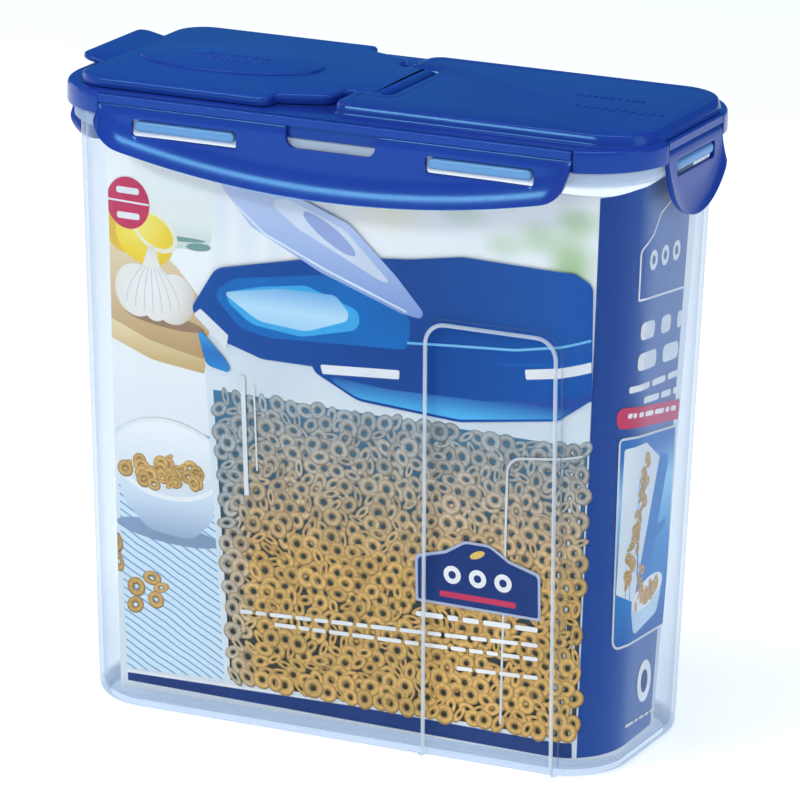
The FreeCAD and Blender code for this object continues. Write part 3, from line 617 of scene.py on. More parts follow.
def flap_outline():
    """Flap in plan: cap, step, throat and tongue."""
    end, step, throat, axis = -106.0, -28.0, -9.2, PIN_X
    return outline([(axis, -21.5, 0.6), (axis, 21.5, 0.6), (throat, 21.5, 3.0), (throat, 33.0, 7.0),
                    (step, 40.0, 2.0), (step, 47.0, 3.0), (end, 47.0, 12.0), (end, -47.0, 12.0),
                    (step, -47.0, 3.0), (step, -40.0, 2.0), (throat, -33.0, 7.0), (throat, -21.5, 3.0)], 9)


def make_flap():
    """Flap: hollow cap with a rounded edge, barrel, raised oval with its motif, and pull tab."""
    low, top, skin = 232.3, 236.0, 1.8
    profile = [(skin, top - skin), (skin, low)] + round_under(0, low, 0.3, 2) + round_over(0, top, 1.5, 6)
    cap = profiled("flap_cap", flap_outline(), profile, FLAP_BLUE)
    soften(cap, 0.25, 60, 2)
    belongs(cap, "flap", "lid_plastic", "flap")
    barrel_ring = ellipse(2.7, 2.7, (PIN_X, PIN_Z), 40)
    half = 21.5
    section = round_under(0, -half, 0.4, 3) + round_over(0, half, 0.4, 3)
    barrel = profiled("flap_barrel", barrel_ring, section, FLAP_BLUE, facing_front)
    belongs(barrel, "flap", "lid_plastic")
    oval = profiled("flap_oval", ellipse(36.5, 20.5, (MOUTH_X, 0), 96),
                    [(0, top - 0.3), (0, top + 0.1)] + round_over(0.15, top + 0.8, 0.6, 5), FLAP_BLUE)
    belongs(oval, "flap", "lid_plastic")
    make_tab(top)
    make_motif(top + 0.8)


def make_tab(top):
    """Pull tab: a tilted, rounded plate at the pouring end."""
    length, half, thick, tilt = 11.5, 24.0, 2.0, 12.0
    ring = outline([(1.5, -half, 0.8), (1.5, half, 0.8), (-length, half, 4.5), (-length, -half, 4.5)], 7)
    profile = round_under(0, 0, 0.6, 3) + round_over(0, thick, 0.8, 4)
    tab = profiled("flap_tab", ring, profile, FLAP_BLUE)
    tab.data.transform(Matrix.Rotation(math.radians(tilt), 4, "Y"))
    tab.data.transform(Matrix.Translation(Vector((-103.4, 0, top - thick - 0.2)) * MM))
    belongs(tab, "flap", "lid_plastic")


def make_motif(level):
    """Generic ear of grain in low relief on the oval."""
    stalk = profiled("motif_stalk", rounded_box(15.0, 0.45, 0.4, (MOUTH_X, 0), 4),
                     [(0, level - 0.3)] + round_over(0, level + 0.3, 0.25, 3), FLAP_BLUE)
    belongs(stalk, "flap", "lid_plastic")
    for n in range(6):
        for side in (1, -1):
            middle = (MOUTH_X - 11.0 + 4.6 * n, side * 2.6)
            grain = profiled(f"motif_grain_{n}_{'upper' if side > 0 else 'lower'}",
                             ellipse(2.7, 1.1, middle, 20, side * 38),
                             [(0, level - 0.3)] + round_over(0, level + 0.35, 0.35, 3), FLAP_BLUE)
            belongs(grain, "flap", "lid_plastic")


# ---------------------------------------------------------------- latches

def bowed_edge(x, half_span, lowest, bow, corner):
    """Level of a latch's lower edge: an arc that runs into a rounded corner at each end."""
    centre = lowest + bow
    inner = half_span - corner
    corner_level = centre - math.sqrt((bow - corner) ** 2 - inner ** 2)
    touch = inner * bow / (bow - corner)
    x = abs(x)
    if x <= touch:
        return centre - math.sqrt(bow ** 2 - x ** 2)
    return corner_level - math.sqrt(max(0.0, corner ** 2 - (x - inner) ** 2))


def latch_face(z, low, flare):
    """How far a latch's outer face stands out at a level, above a lower edge at low."""
    above = min(1.0, max(0.0, (z - low) / 10.0))
    out = flare * (1 - above) ** 1.7 * min(1.0, max(0.0, (LATCH_AXIS - z) / 5.0))
    shoulder = max(0.0, z - 225.0) / 3.3
    return out - 0.9 * shoulder ** 1.6


def hinge_round(z):
    """How far a latch's inner face steps outwards above its hinge, so that its edge clears the strip."""
    radius = LATCH_THICK / 2
    above = min(radius, max(0.0, z - LATCH_AXIS))
    return radius - math.sqrt(radius ** 2 - above ** 2)


def latch_column(x, low, top, inner, flare):
    """Closed section of a latch at one place along it, outer face first."""
    shares = [0, 0.02, 0.05, 0.1, 0.16, 0.22, 0.3, 0.38, 0.46, 0.56, 0.68, 0.8, 0.87, 0.91, 0.95, 0.98, 1]
    outer_face, inner_face = [], []
    for share in shares:
        z = low + (top - low) * share
        out = latch_face(z, low, flare)
        outer_face.append((x, -(inner + LATCH_THICK + out), z))
        kept = max(0.0, out) * 0.97
        inner_face.append((x, -(inner + kept + hinge_round(z)), z))
    return outer_face + inner_face[::-1]


def make_latch(side, turn, reach, kind):
    """Latch: plate with a sloped shoulder, slots over the lugs and a flare that follows its lower edge."""
    half_span, centres = kind["half_span"], kind["centres"]
    inner = reach - POCKET_DEEP + RUNNING_GAP
    count = 68 if len(centres) > 1 else 40
    columns = []
    for k in range(count + 1):
        x = half_span * math.sin(math.pi / 2 * (2 * k / count - 1))
        low = bowed_edge(x, half_span, kind["lowest"], kind["bow"], kind["corner"])
        columns.append(latch_column(x, low, LATCH_TOP, inner, kind["flare"]))
    latch = loft(f"latch_{side}_plate", columns, LID_BLUE)
    tall, level = (SLOT_Z[1] - SLOT_Z[0]) / 2, (SLOT_Z[1] + SLOT_Z[0]) / 2
    cuts = []
    for k, centre in enumerate(centres):
        ring = rounded_box(kind["slot_half"], tall, 1.2, (centre, level), 5)
        cuts.append(cutter(f"slot_{side}_{k}", ring, inner - 6, inner + 12, facing_front))
    if len(centres) > 1:
        above = LATCH_TOP + 17
        notch = outline([(NOTCH_HALF, NOTCH_LOW, 4.0), (NOTCH_HALF, above, 0), (-NOTCH_HALF, above, 0),
                         (-NOTCH_HALF, NOTCH_LOW, 4.0)], 5)
        cuts.append(cutter(f"notch_{side}", notch, inner - 6, inner + 12, facing_front))
    combine(latch, cuts, "DIFFERENCE")
    soften(latch, 0.4, 38, 3)
    turned(latch, turn)
    belongs(latch, f"latch_{side}", "lid_plastic", f"latch_{side}")


def make_strip_looks():
    """The hinge strips, pins and soft rings keep their CAD shapes."""
    looks = {"hinge_strip": LID_BLUE, "flap_pins": FLAP_BLUE, "lid_gasket": SILICONE, "flap_seal": SILICONE}
    for name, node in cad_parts.items():
        for start, material in looks.items():
            if name.startswith(start):
                node.data.materials.clear()
                node.data.materials.append(material)


# ---------------------------------------------------------------- printed card

def card_front_y(z):
    """Place in Y of the card's front panel."""
    return -(tub_half(z)[1] - 5.0)


def card_end_x(z):
    """Place in X of the card's end panel."""
    return tub_half(z)[0] - 2.0


def bend_start(z):
    """Distance along the card where its bend starts; equal to X on the flat front panel."""
    return card_end_x(z) - CARD_BEND


def bend_end(z):
    """Distance along the card where its bend ends."""
    return bend_start(z) + CARD_BEND * math.pi / 2


def round_corner(z, degrees):
    """Distance along the card of a slanted line on its bend, degrees round at the foot."""
    return bend_start(z) + CARD_BEND * math.radians(degrees + 16 * z / 220.0)


def on_end(y, z):
    """Distance along the card of a place on its end panel."""
    return bend_end(z) + y - (card_front_y(z) + CARD_BEND)


def sheet_left(z):
    """The sheet's slanted left end."""
    return -89.0 - 4.0 * z / 215.0


def sheet_right(z):
    """The sheet's slanted end round the corner."""
    return on_end(6.6 + 15.0 * z / 215.0, z)


def registered(s, z):
    """Where a printed point lands on the sheet: the printing is a little skewed and stretched on it."""
    y = s - bend_end(z) + card_front_y(z) + CARD_BEND
    share = min(1.0, max(0.0, (s - bend_start(z)) / (bend_end(z) - bend_start(z))))
    front = Vector((1.7 + 0.9884 * s - 0.0203 * z, 1.3 - 0.013 * s + 0.992 * z))
    end = Vector((on_end(-2.6 + 1.043 * y - 0.0213 * z, z), 2.3 + 0.0265 * y + 1.001 * z))
    return front.lerp(end, share)


def card_point(s, z, lift):
    """A place on the card: distance along it, level, and height above its printed face."""
    start, end, front = bend_start(z), bend_end(z), card_front_y(z)
    if s <= start:
        return (s, front - lift, z)
    if s >= end:
        return (card_end_x(z) + lift, front + CARD_BEND + s - end, z)
    angle = (s - start) / CARD_BEND
    reach = CARD_BEND + lift
    return (start + reach * math.sin(angle), front + CARD_BEND - reach * math.cos(angle), z)


INK = 0.03
RING_STEP = 0.0008
END_LIFT = 0.3
layer = {"lift": 0.06}


def next_lift():
    """Each print is laid a little above the last."""
    layer["lift"] += 0.006
    return layer["lift"]


def past_end(work, edge, inward, flat):
    """Cut a print off just inside a slanted end of the sheet; returns the cut edges."""
    low, high = edge(0.0) + 0.2 * inward, edge(200.0) + 0.2 * inward
    along, up = 200.0 * inward, (low - high) * inward
    start, way = ((low, 0, 0), (along, up, 0)) if flat else ((low * MM, 0, 0), (along, 0, up))
    everything = work.verts[:] + work.edges[:] + work.faces[:]
    made = bmesh.ops.bisect_plane(work, geom=everything, plane_co=start, plane_no=way, clear_inner=True)
    return [part for part in made["geom_cut"] if isinstance(part, bmesh.types.BMEdge)]


def decal(name, ring, material, lift=None):
    """A printed patch: a thin closed plate that follows the card, from an outline of (s, z) points."""
    lift = next_lift() if lift is None else lift
    work = bmesh.new()
    work.faces.new([work.verts.new((p[0], p[1], 0)) for p in ring])
    spread = [p[0] for p in ring]
    cut_at = math.ceil(min(spread) / 2.5) * 2.5
    while cut_at < max(spread):
        if cut_at > 78.0:
            everything = work.verts[:] + work.edges[:] + work.faces[:]
            bmesh.ops.bisect_plane(work, geom=everything, plane_co=(cut_at, 0, 0), plane_no=(1, 0, 0))
        cut_at += 2.5
    for vert in work.verts:
        vert.co = Vector((*registered(vert.co.x, vert.co.y), 0))
    past_end(work, sheet_left, 1, True)
    past_end(work, sheet_right, -1, True)
    bmesh.ops.triangulate(work, faces=work.faces)
    flat = [vert.co.copy() for vert in work.verts]
    work.verts.index_update()
    top = [tuple(vert.index for vert in face.verts) for face in work.faces]
    rim = [edge for edge in work.edges if len(edge.link_faces) == 1]
    sides = [tuple(vert.index for vert in edge.verts) for edge in rim]
    work.free()
    count = len(flat)
    points = [card_point(place.x, place.y, height) for height in (lift, lift - INK) for place in flat]
    faces = top + [tuple(k + count for k in reversed(face)) for face in top]
    faces += [(a, b, b + count, a + count) for a, b in sides]
    piece = add_mesh(name, points, faces, material)
    return belongs(piece, "container", "printed_card")


def shape(name, ink, *corners, steps=8):
    """A printed patch inside rounded corners, each (s, z, radius)."""
    return decal(name, outline(corners, steps), ink)


def patch(name, left, right, low, high, material, lift=None, columns=40, rows=24):
    """A printed patch between two slanted sides, given as functions of the level."""
    lift = next_lift() if lift is None else lift
    ring_rows = []
    for j in range(rows + 1):
        z = low + (high - low) * j / rows
        ring_rows.append([(left(z) + (right(z) - left(z)) * k / columns, z) for k in range(columns + 1)])
    across = columns + 1
    flat = [registered(*p) for row in ring_rows for p in row]
    count = len(flat)
    points = [card_point(s, z, lift) for s, z in flat] + [card_point(s, z, lift - INK) for s, z in flat]
    faces = []
    for j in range(rows):
        for k in range(columns):
            a = j * across + k
            faces.append((a, a + 1, a + across + 1, a + across))
            faces.append((count + a + across, count + a + across + 1, count + a + 1, count + a))
    rim = list(range(across)) + [across * (j + 1) - 1 for j in range(1, rows + 1)]
    rim += [across * rows + k for k in reversed(range(columns))]
    rim += [across * j for j in reversed(range(1, rows))]
    for k, a in enumerate(rim):
        b = rim[(k + 1) % len(rim)]
        faces.append((a, a + count, b + count, b))
    return belongs(add_mesh(name, points, faces, material), "container", "printed_card")


def line(name, path, width, material, lift=None):
    """A printed line of even width along an open path of (s, z) points."""
    spots = [Vector(p) for p in path]
    left, right = [], []
    for k, here in enumerate(spots):
        came = (here - spots[max(0, k - 1)]).normalized()
        goes = (spots[min(len(spots) - 1, k + 1)] - here).normalized()
        way = (came + goes).normalized()
        across = Vector((-way.y, way.x)) * (width / 2)
        left.append(here + across)
        right.append(here - across)
    return decal(name, left + right[::-1], material, lift)


def arch_path(points, steps=6):
    """An open path with its inner corners, each (s, z, radius), rounded."""
    path = [Vector(points[0][:2])]
    for before, here, after in zip(points, points[1:], points[2:]):
        path += corner_arc(before[:2], here[:2], after[:2], here[2], steps)
    path.append(Vector(points[-1][:2]))
    return path


def blend_ink(name, *stops, middle=(0.0, 0.0, 0.0), reach=0.1, axis=None, rough=0.55):
    """Ink whose colour runs through stops, outwards from a place in millimetres or along an axis."""
    shader = Shader(name)
    mapping = shader.add("ShaderNodeMapping", vector_type="POINT")
    mapping.inputs["Location"].default_value = Vector(middle) * -MM / reach
    mapping.inputs["Scale"].default_value = Vector((1, 1, 1)) / reach
    shader.link(shader.where(), mapping.inputs["Vector"])
    if axis is None:
        ball = shader.add("ShaderNodeVectorMath", operation="LENGTH")
        shader.link(mapping.outputs["Vector"], ball.inputs[0])
        factor = ball.outputs["Value"]
    else:
        parts = shader.add("ShaderNodeSeparateXYZ")
        shader.link(mapping.outputs["Vector"], parts.inputs["Vector"])
        factor = parts.outputs[axis]
    shader.link(shader.ramp(factor, *stops), shader.bsdf.inputs["Base Color"])
    shader.set(Roughness=rough, Specular_IOR_Level=0.12)
    return shader.material


def at_card(s, z):
    """Place on the front of the card, for blend_ink."""
    return card_point(s, z, 0)


def with_spot(shader, under, colour, middle, reach, cover):
    """Blend an out-of-focus spot of colour over another colour output."""
    place = Vector(card_point(*registered(*middle), 0)) * MM
    across, up = reach[0] * MM, reach[1] * MM
    mapping = shader.add("ShaderNodeMapping", vector_type="POINT")
    mapping.inputs["Scale"].default_value = (1 / across, 0.0, 1 / up)
    mapping.inputs["Location"].default_value = (-place.x / across, 0.0, -place.z / up)
    shader.link(shader.where(), mapping.inputs["Vector"])
    ball = shader.add("ShaderNodeVectorMath", operation="LENGTH")
    shader.link(mapping.outputs["Vector"], ball.inputs[0])
    fade = shader.add("ShaderNodeMapRange", interpolation_type="SMOOTHSTEP")
    fade.inputs["From Min"].default_value, fade.inputs["To Min"].default_value = 0.1, cover
    fade.inputs["From Max"].default_value, fade.inputs["To Max"].default_value = 1.0, 0.0
    shader.link(ball.outputs["Value"], fade.inputs["Value"])
    mix = shader.add("ShaderNodeMix", data_type="RGBA")
    mix.inputs[7].default_value = (*colour, 1)
    shader.link(fade.outputs["Result"], mix.inputs[0])
    shader.link(under, mix.inputs[6])
    return mix.outputs[2]


def print_background():
    """Soft daylight background: pale streaks of a curtain, a warm glow and patches of green."""
    shader = Shader("print_background")
    colour = shader.ramp(shader.noise(40.0), (0.3, (0.90, 0.91, 0.91)), (0.7, (0.95, 0.95, 0.94)))
    for k in range(5):
        colour = with_spot(shader, colour, (0.70, 0.76, 0.82), (-46.0 + 11.0 * k, 188.0),
                           (6.0 + k % 2, 30.0), 0.4)
    greens = ((92.0, 190.0, 12.0, 16.0, 0.8), (80.0, 198.0, 13.0, 9.0, 0.55), (66.0, 194.0, 12.0, 7.0, 0.4),
              (50.0, 203.0, 13.0, 6.0, 0.3), (95.0, 205.0, 12.0, 9.0, 0.6))
    for s, z, wide, tall, cover in greens:
        colour = with_spot(shader, colour, (0.34, 0.54, 0.20), (s, z), (wide, tall), cover)
    colour = with_spot(shader, colour, (0.93, 0.86, 0.62), (20.0, 200.0), (22.0, 12.0), 0.6)
    shader.link(colour, shader.bsdf.inputs["Base Color"])
    shader.set(Roughness=0.55, Specular_IOR_Level=0.12)
    patch("print_background", lambda z: -50.0, lambda z: round_corner(z, 28), 150.0, 212.0, shader.material)


def striped_cloth():
    """Woven cloth print: pale blue stripes on white, with a soft weave."""
    shader = Shader("print_cloth")
    turn = shader.add("ShaderNodeMapping")
    turn.inputs["Rotation"].default_value = (0, math.radians(-28), 0)
    shader.link(shader.where(), turn.inputs["Vector"])
    bands = shader.add("ShaderNodeTexWave", Scale=62.0, Distortion=1.2, Detail=2.0, bands_direction="Z")
    shader.link(turn.outputs["Vector"], bands.inputs["Vector"])
    blue, pale = (0.13, 0.31, 0.50), (0.66, 0.78, 0.88)
    colour = shader.ramp(bands.outputs["Fac"], (0.25, pale), (0.45, blue), (0.6, shift(blue, 1.25)),
                         (0.8, pale))
    shader.link(colour, shader.bsdf.inputs["Base Color"])
    shader.set(Roughness=0.55, Specular_IOR_Level=0.12)
    return shader.material


def cereal_ink():
    """Baked cereal print, coloured point by point."""
    shader = Shader("print_cereal")
    paint = shader.add("ShaderNodeVertexColor", layer_name="tone")
    mottle = shader.add("ShaderNodeMix", data_type="RGBA", blend_type="MULTIPLY")
    mottle.inputs[0].default_value = 0.5
    spots = shader.ramp(shader.noise(900.0, 3.0), (0.35, (0.62, 0.55, 0.45)), (0.6, (1.0, 1.0, 1.0)))
    shader.link(paint.outputs["Color"], mottle.inputs[6])
    shader.link(spots, mottle.inputs[7])
    shader.link(mottle.outputs[2], shader.bsdf.inputs["Base Color"])
    shader.set(Roughness=0.55, Specular_IOR_Level=0.12)
    return shader.material


PAPER = blend_ink("print_paper", (0.0, (0.70, 0.74, 0.78)), (0.45, (0.88, 0.89, 0.90)),
                  (0.75, (0.95, 0.95, 0.94)), (1.0, (0.96, 0.96, 0.95)), middle=(0, 0, 60), reach=0.16,
                  axis="Z")
NAVY = printed("print_navy", (0.010, 0.040, 0.20), (0.008, 0.034, 0.17), 20)
WHITE = printed("print_white", (0.88, 0.89, 0.90))
CRIMSON = printed("print_crimson", (0.62, 0.045, 0.12))
PALE_LINE = printed("print_pale_line", (0.66, 0.70, 0.74))
TUB_WALL = printed("print_tub_wall", (0.74, 0.79, 0.83), (0.66, 0.72, 0.77), 30.0)
CEREAL = cereal_ink()
GOLDEN = Vector((0.74, 0.46, 0.15))


def make_card():
    """Card sheet, bent round the corner, with slanted ends."""
    levels = [CARD_LOW.z + (CARD_HIGH.z - CARD_LOW.z) * j / 26 for j in range(27)]
    columns = 120
    sections = []
    for z in levels:
        left, right = sheet_left(z), sheet_right(z)
        spots = [left + (right - left) * k / columns for k in range(columns + 1)]
        face = [card_point(s, z, 0) for s in spots]
        back = [card_point(s, z, -CARD_THICK) for s in reversed(spots)]
        sections.append(face + back)
    sheet = loft("card_sheet", sections, PAPER)
    soften(sheet, 0.12, 50, 2)
    return belongs(sheet, "container", "printed_card", "label_card")


def print_border():
    """Navy foot band with its white line, and the navy field of the end panel."""
    margin, low, steps, right = 0.4, 6.2, 30, 91.5
    left = sheet_left(8) + margin
    top = []
    for k in range(steps + 1):
        s = left + (right - left) * k / steps
        top.append((s, 9.7 + 5.3 * (s + 94.1) / 187.0))
    decal("print_foot", [(sheet_left(low) + margin, low), (right, low)] + top[::-1], NAVY)
    line("print_foot_line", top, 1.1, WHITE)
    field = blend_ink("print_end_field", (0.0, (0.008, 0.050, 0.27)), (0.5, (0.016, 0.090, 0.38)),
                      (1.0, (0.008, 0.045, 0.25)), middle=(0, -45, 0), reach=0.07, axis="Y")
    patch("print_end_field", lambda z: round_corner(z, 29), lambda z: sheet_right(z) - margin, 6.3, 213.7,
          field)


def print_still_life():
    """Lemons, a glass, garlic and a board in the upper left."""
    board = blend_ink("print_board", (0.0, (0.52, 0.33, 0.14)), (0.45, (0.74, 0.55, 0.31)),
                      (1.0, (0.86, 0.74, 0.52)),
                      middle=(0, 0, 136), reach=0.05, axis="Z")
    rim = blend_ink("print_board_rim", (0.0, (0.60, 0.40, 0.16)), (1.0, (0.85, 0.68, 0.40)),
                    middle=(0, 0, 130),
                    reach=0.014, axis="Z")
    left = -92.0
    shape("print_board", board, (left, 145, 0), (-76, 139.0, 30), (-54, 134.6, 0), (-50, 152, 8),
          (-66, 170, 20), (left, 182, 0))
    shape("print_board_rim", rim, (left, 138.0, 0), (-75, 131.6, 30), (-54, 129.4, 0), (-53, 134.6, 0),
          (-75, 138.6, 30), (left, 145.5, 0))
    glass = blend_ink("print_glass", (0.0, (0.60, 0.68, 0.62)), (0.4, (0.84, 0.87, 0.83)),
                      (1.0, (0.90, 0.92, 0.88)),
                      middle=(0, 0, 174), reach=0.03, axis="Z")
    shape("print_glass", glass, (-80, 174, 6), (-50, 176, 6), (-47, 211, 4), (-82, 209, 4))
    green = printed("print_glass_base", (0.22, 0.40, 0.36))
    decal("print_glass_line", ellipse(12.0, 0.9, (-64, 178.6), 24, 2), green)
    decal("print_glass_foot", ellipse(5.0, 1.5, (-55, 176.6), 24, 4), green)
    lemon = blend_ink("print_lemon", (0.0, (0.98, 0.86, 0.22)), (0.5, (0.93, 0.68, 0.05)),
                      (1.0, (0.82, 0.50, 0.02)),
                      middle=at_card(-80, 184), reach=0.024)
    decal("print_lemon_back", ellipse(9.0, 9.5, (-84.0, 180.0), 32),
          printed("print_lemon_shade", (0.86, 0.55, 0.06)))
    decal("print_lemon_body", ellipse(12.0, 9.5, (-77.0, 177.0), 40, -25), lemon)
    decal("print_lemon_rind", ellipse(9.8, 6.6, (-72.5, 180.0), 40, -32),
          printed("print_rind", (0.95, 0.92, 0.72)))
    decal("print_lemon_pulp", ellipse(8.4, 5.3, (-72.9, 180.3), 40, -32), lemon)
    skin = blend_ink("print_garlic", (0.0, (0.92, 0.90, 0.86)), (0.55, (0.86, 0.82, 0.76)),
                     (1.0, (0.60, 0.52, 0.44)),
                     middle=at_card(-76, 160), reach=0.022)
    decal("print_garlic_shade", ellipse(16.0, 2.6, (-69.5, 147.2), 40, -6),
          printed("print_board_shade", (0.38, 0.24, 0.14)))
    shape("print_garlic_neck", skin, (-79, 164, 2), (-70, 164, 2), (-72.8, 174.5, 1), (-75.4, 174.5, 1))
    for name, at, size, turn in (("right", (-65.5, 155.6), (8.6, 9.6), -14),
                                 ("left", (-80.6, 157.2), (8.8, 10.0), 10),
                                 ("middle", (-73.0, 157.0), (6.6, 10.6), 0)):
        decal(f"print_garlic_{name}", ellipse(*size, at, 36, turn), skin)
    for k in range(7):
        start = (-74.5 + 1.1 * (k - 3), 166.5)
        end = (-74.0 + 3.6 * (k - 3), 149.5 + 0.35 * abs(k - 3) ** 2)
        middle = ((start[0] + end[0]) / 2 + 1.1 * (k - 3), (start[1] + end[1]) / 2)
        path = [tuple(Vector(start) * (1 - t) ** 2 + Vector(middle) * 2 * t * (1 - t) + Vector(end) * t * t)
                for t in [n / 8 for n in range(9)]]
        line(f"print_garlic_vein_{k}", path, 0.32, PALE_LINE)


def print_badge():
    """Round crimson badge with a white dividing line and no lettering."""
    middle = (-83.2, 189.4)
    decal("print_badge", ellipse(8.7, 9.7, middle, 48), CRIMSON)
    line("print_badge_line", [(-91.6, 190.0), (-74.8, 189.6)], 0.7, WHITE)
    for k, z in enumerate((194.0, 184.6)):
        decal(f"print_badge_mark_{k}", rounded_box(4.6, 1.2, 0.9, (middle[0], z), 4), WHITE)


def cereal_rings(name, spots, lift, outer=3.4, tint=None):
    """Many printed cereal rings as one mesh of small shaded rings.

    Each spot is (s, z, squash, turn, shade, growth); tint is a second colour and its share at a place.
    """
    steps = 16
    points, faces, tones = [], [], []
    for count, (s, z, squash, turn, shade_level, grow) in enumerate(spots):
        height = lift + RING_STEP * count
        radii = ((0.25, -INK), (0.25, 0.0), (0.40, 0.0), (0.68, 0.0), (1.0, 0.0), (1.0, -INK))
        start = len(points)
        tilt = Matrix.Rotation(turn, 2)
        baked = GOLDEN.lerp(tint[0], tint[1](s, z)) if tint else GOLDEN
        for n in range(steps):
            angle = 2 * math.pi * n / steps
            for level, (radius, drop) in enumerate(radii):
                reach = radius * outer * grow
                spot = tilt @ Vector((reach * math.cos(angle), reach * squash * math.sin(angle)))
                points.append(card_point(*registered(s + spot.x, z + spot.y), height + drop))
                lit = 0.5 + 0.5 * math.sin(angle + turn - 0.6)
                tone = {0: 0.12, 1: 0.16, 2: 0.85 - 0.30 * lit, 3: 1.12, 4: 0.30 + 0.42 * lit, 5: 0.3}[level]
                tones.append((*(part * tone * shade_level for part in baked), 1.0))
        width = len(radii)
        for n in range(steps):
            here, after = start + n * width, start + (n + 1) % steps * width
            for level in range(width):
                up = (level + 1) % width
                faces.append((here + level, after + level, after + up, here + up))
    mesh = bpy.data.meshes.new(name)
    mesh.from_pydata([Vector(p) * MM for p in points], [], faces)
    mesh.materials.append(CEREAL)
    paint = mesh.color_attributes.new("tone", "FLOAT_COLOR", "POINT")
    paint.data.foreach_set("color", [part for tone in tones for part in tone])
    piece = bpy.data.objects.new(name, mesh)
    bpy.context.scene.collection.objects.link(piece)
    work = bmesh.new()
    work.from_mesh(mesh)
    ends = past_end(work, sheet_left, 1, False)
    if ends:
        bmesh.ops.holes_fill(work, edges=ends)
    bmesh.ops.recalc_face_normals(work, faces=work.faces)
    work.to_mesh(mesh)
    work.free()
    return belongs(shade(piece), "container", "printed_card")


def ring_spot(s, z, shade_level=1.0, grow=1.0):
    """One ring with a chance turn and tilt."""
    squash = rng.choice((1.0, 0.95, 0.85, 0.7, 0.55, 0.4))
    return (s, z, squash, rng.uniform(0, math.pi), shade_level * rng.uniform(0.82, 1.08),
            grow * rng.uniform(0.9, 1.1))


def print_bowl():
    """Striped cloth, bowl of cereal and spilt rings in the lower left."""
    cloth = outline([(sheet_left(11) + 0.4, 11.0, 0), (-46, 13.4, 0), (-49, 62, 0), (-52, 106, 0),
                     (sheet_left(101) + 0.4, 103.5, 0)])
    decal("print_cloth", cloth, striped_cloth())
    body = blend_ink("print_bowl", (0.0, (0.30, 0.40, 0.56)), (0.4, (0.62, 0.72, 0.83)),
                     (0.8, (0.86, 0.90, 0.94)),
                     (1.0, (0.90, 0.93, 0.96)), middle=(0, 0, 66), reach=0.036, axis="Z")
    inside = blend_ink("print_bowl_inside", (0.0, (0.72, 0.76, 0.80)), (1.0, (0.92, 0.93, 0.94)),
                       middle=(0, 0, 86),
                       reach=0.024, axis="Z")
    decal("print_bowl_shadow", ellipse(21.0, 4.0, (-70.5, 66.4), 40, -4),
          printed("print_shadow", (0.26, 0.36, 0.52)))
    shape("print_bowl_body", body, (-92.4, 93, 3), (-88, 76, 12), (-78, 66.5, 10), (-60, 64.8, 10),
          (-51.6, 74, 6), (-50.6, 96, 2))
    decal("print_bowl_rim", ellipse(23.2, 15.5, (-69.6, 94.4), 48, -3), WHITE)
    decal("print_bowl_hollow", ellipse(21.6, 13.9, (-69.6, 94.6), 48, -3), inside)
    spots = []
    for k in range(34):
        angle, reach = rng.uniform(0, 2 * math.pi), math.sqrt(rng.random())
        s, z = -72.0 + 15.5 * reach * math.cos(angle), 89.4 + 5.4 * reach * math.sin(angle)
        if s < -55.5:
            spots.append(ring_spot(s, z, 1.0, 0.92))
    spots.sort(key=lambda spot: -spot[1])
    cereal_rings("print_bowl_cereal", spots, next_lift())
    spilt = [ring_spot(s, z, 0.95, 1.1) for s, z in ((-92.0, 59.5), (-91.0, 52.0), (-84.0, 43.4),
                                                     (-77.4, 47.8), (-73.8, 44.6), (-84.6, 36.4),
                                                     (-76.0, 39.6))]
    cereal_rings("print_spilt_cereal", spilt, next_lift())


def print_tub():
    """Printed picture of the dispenser's own tub, full of cereal rings."""
    def left(z):
        return -48.6 - 5.0 * (z - 15) / 125.0

    def right(z):
        return round_corner(z, 28.5)

    def washed(s, z):
        return min(0.9, max(0.0, (z - 66.0) / 62.0) + 0.8 * max(0.0, (-34.0 - s) / 16.0))

    patch("print_tub_wall", left, right, 12.0, 144.0, TUB_WALL)
    dark = blend_ink("print_cereal_gaps", (0.0, (0.05, 0.045, 0.03)), (0.5, (0.03, 0.055, 0.06)),
                     (1.0, (0.06, 0.20, 0.34)), middle=(0, 0, 14), reach=0.115, axis="Z")
    patch("print_cereal_gaps", lambda z: left(z) + 2.6, lambda z: right(z) - 0.6, 13.6, 124.0, dark)
    spots = []
    pitch, row, z = 5.3, 0, 15.5
    while z < 125.5:
        start, end = left(z) + 4.6, right(z) - 2.0
        count = int((end - start) / pitch)
        for k in range(count + 1):
            s = start + (end - start) * (k + 0.5 * (row % 2)) / (count + 0.5) + rng.uniform(-0.9, 0.9)
            s = min(max(s, start), end)
            level = min(max(z + rng.uniform(-0.9, 0.9), 15.4), 126.0)
            fade = 1.0 - 0.12 * max(0.0, (level - 70.0) / 55.0)
            spots.append(ring_spot(s, level, fade))
        z += pitch * 0.8
        row += 1
    spots.sort(key=lambda spot: -spot[1] + rng.uniform(-5.0, 5.0))
    cereal_rings("print_tub_cereal", spots, next_lift(), 3.9, (Vector((0.46, 0.54, 0.60)), washed))
    layer["lift"] += RING_STEP * len(spots) + INK
    glint = printed("print_glint", (0.78, 0.82, 0.84))
    for k, (s, width, low, high) in enumerate(((-38.0, 1.8, 86, 131), (-33.5, 0.7, 96, 128))):
        line(f"print_tub_glint_{k}", [(s + 0.6, low), (s, high)], width, glint)
    line("print_grip_line", arch_path([(62.9, 15.5), (66.8, 116.0, 6.0), (97.0, 120.0)]), 0.9, PALE_LINE)


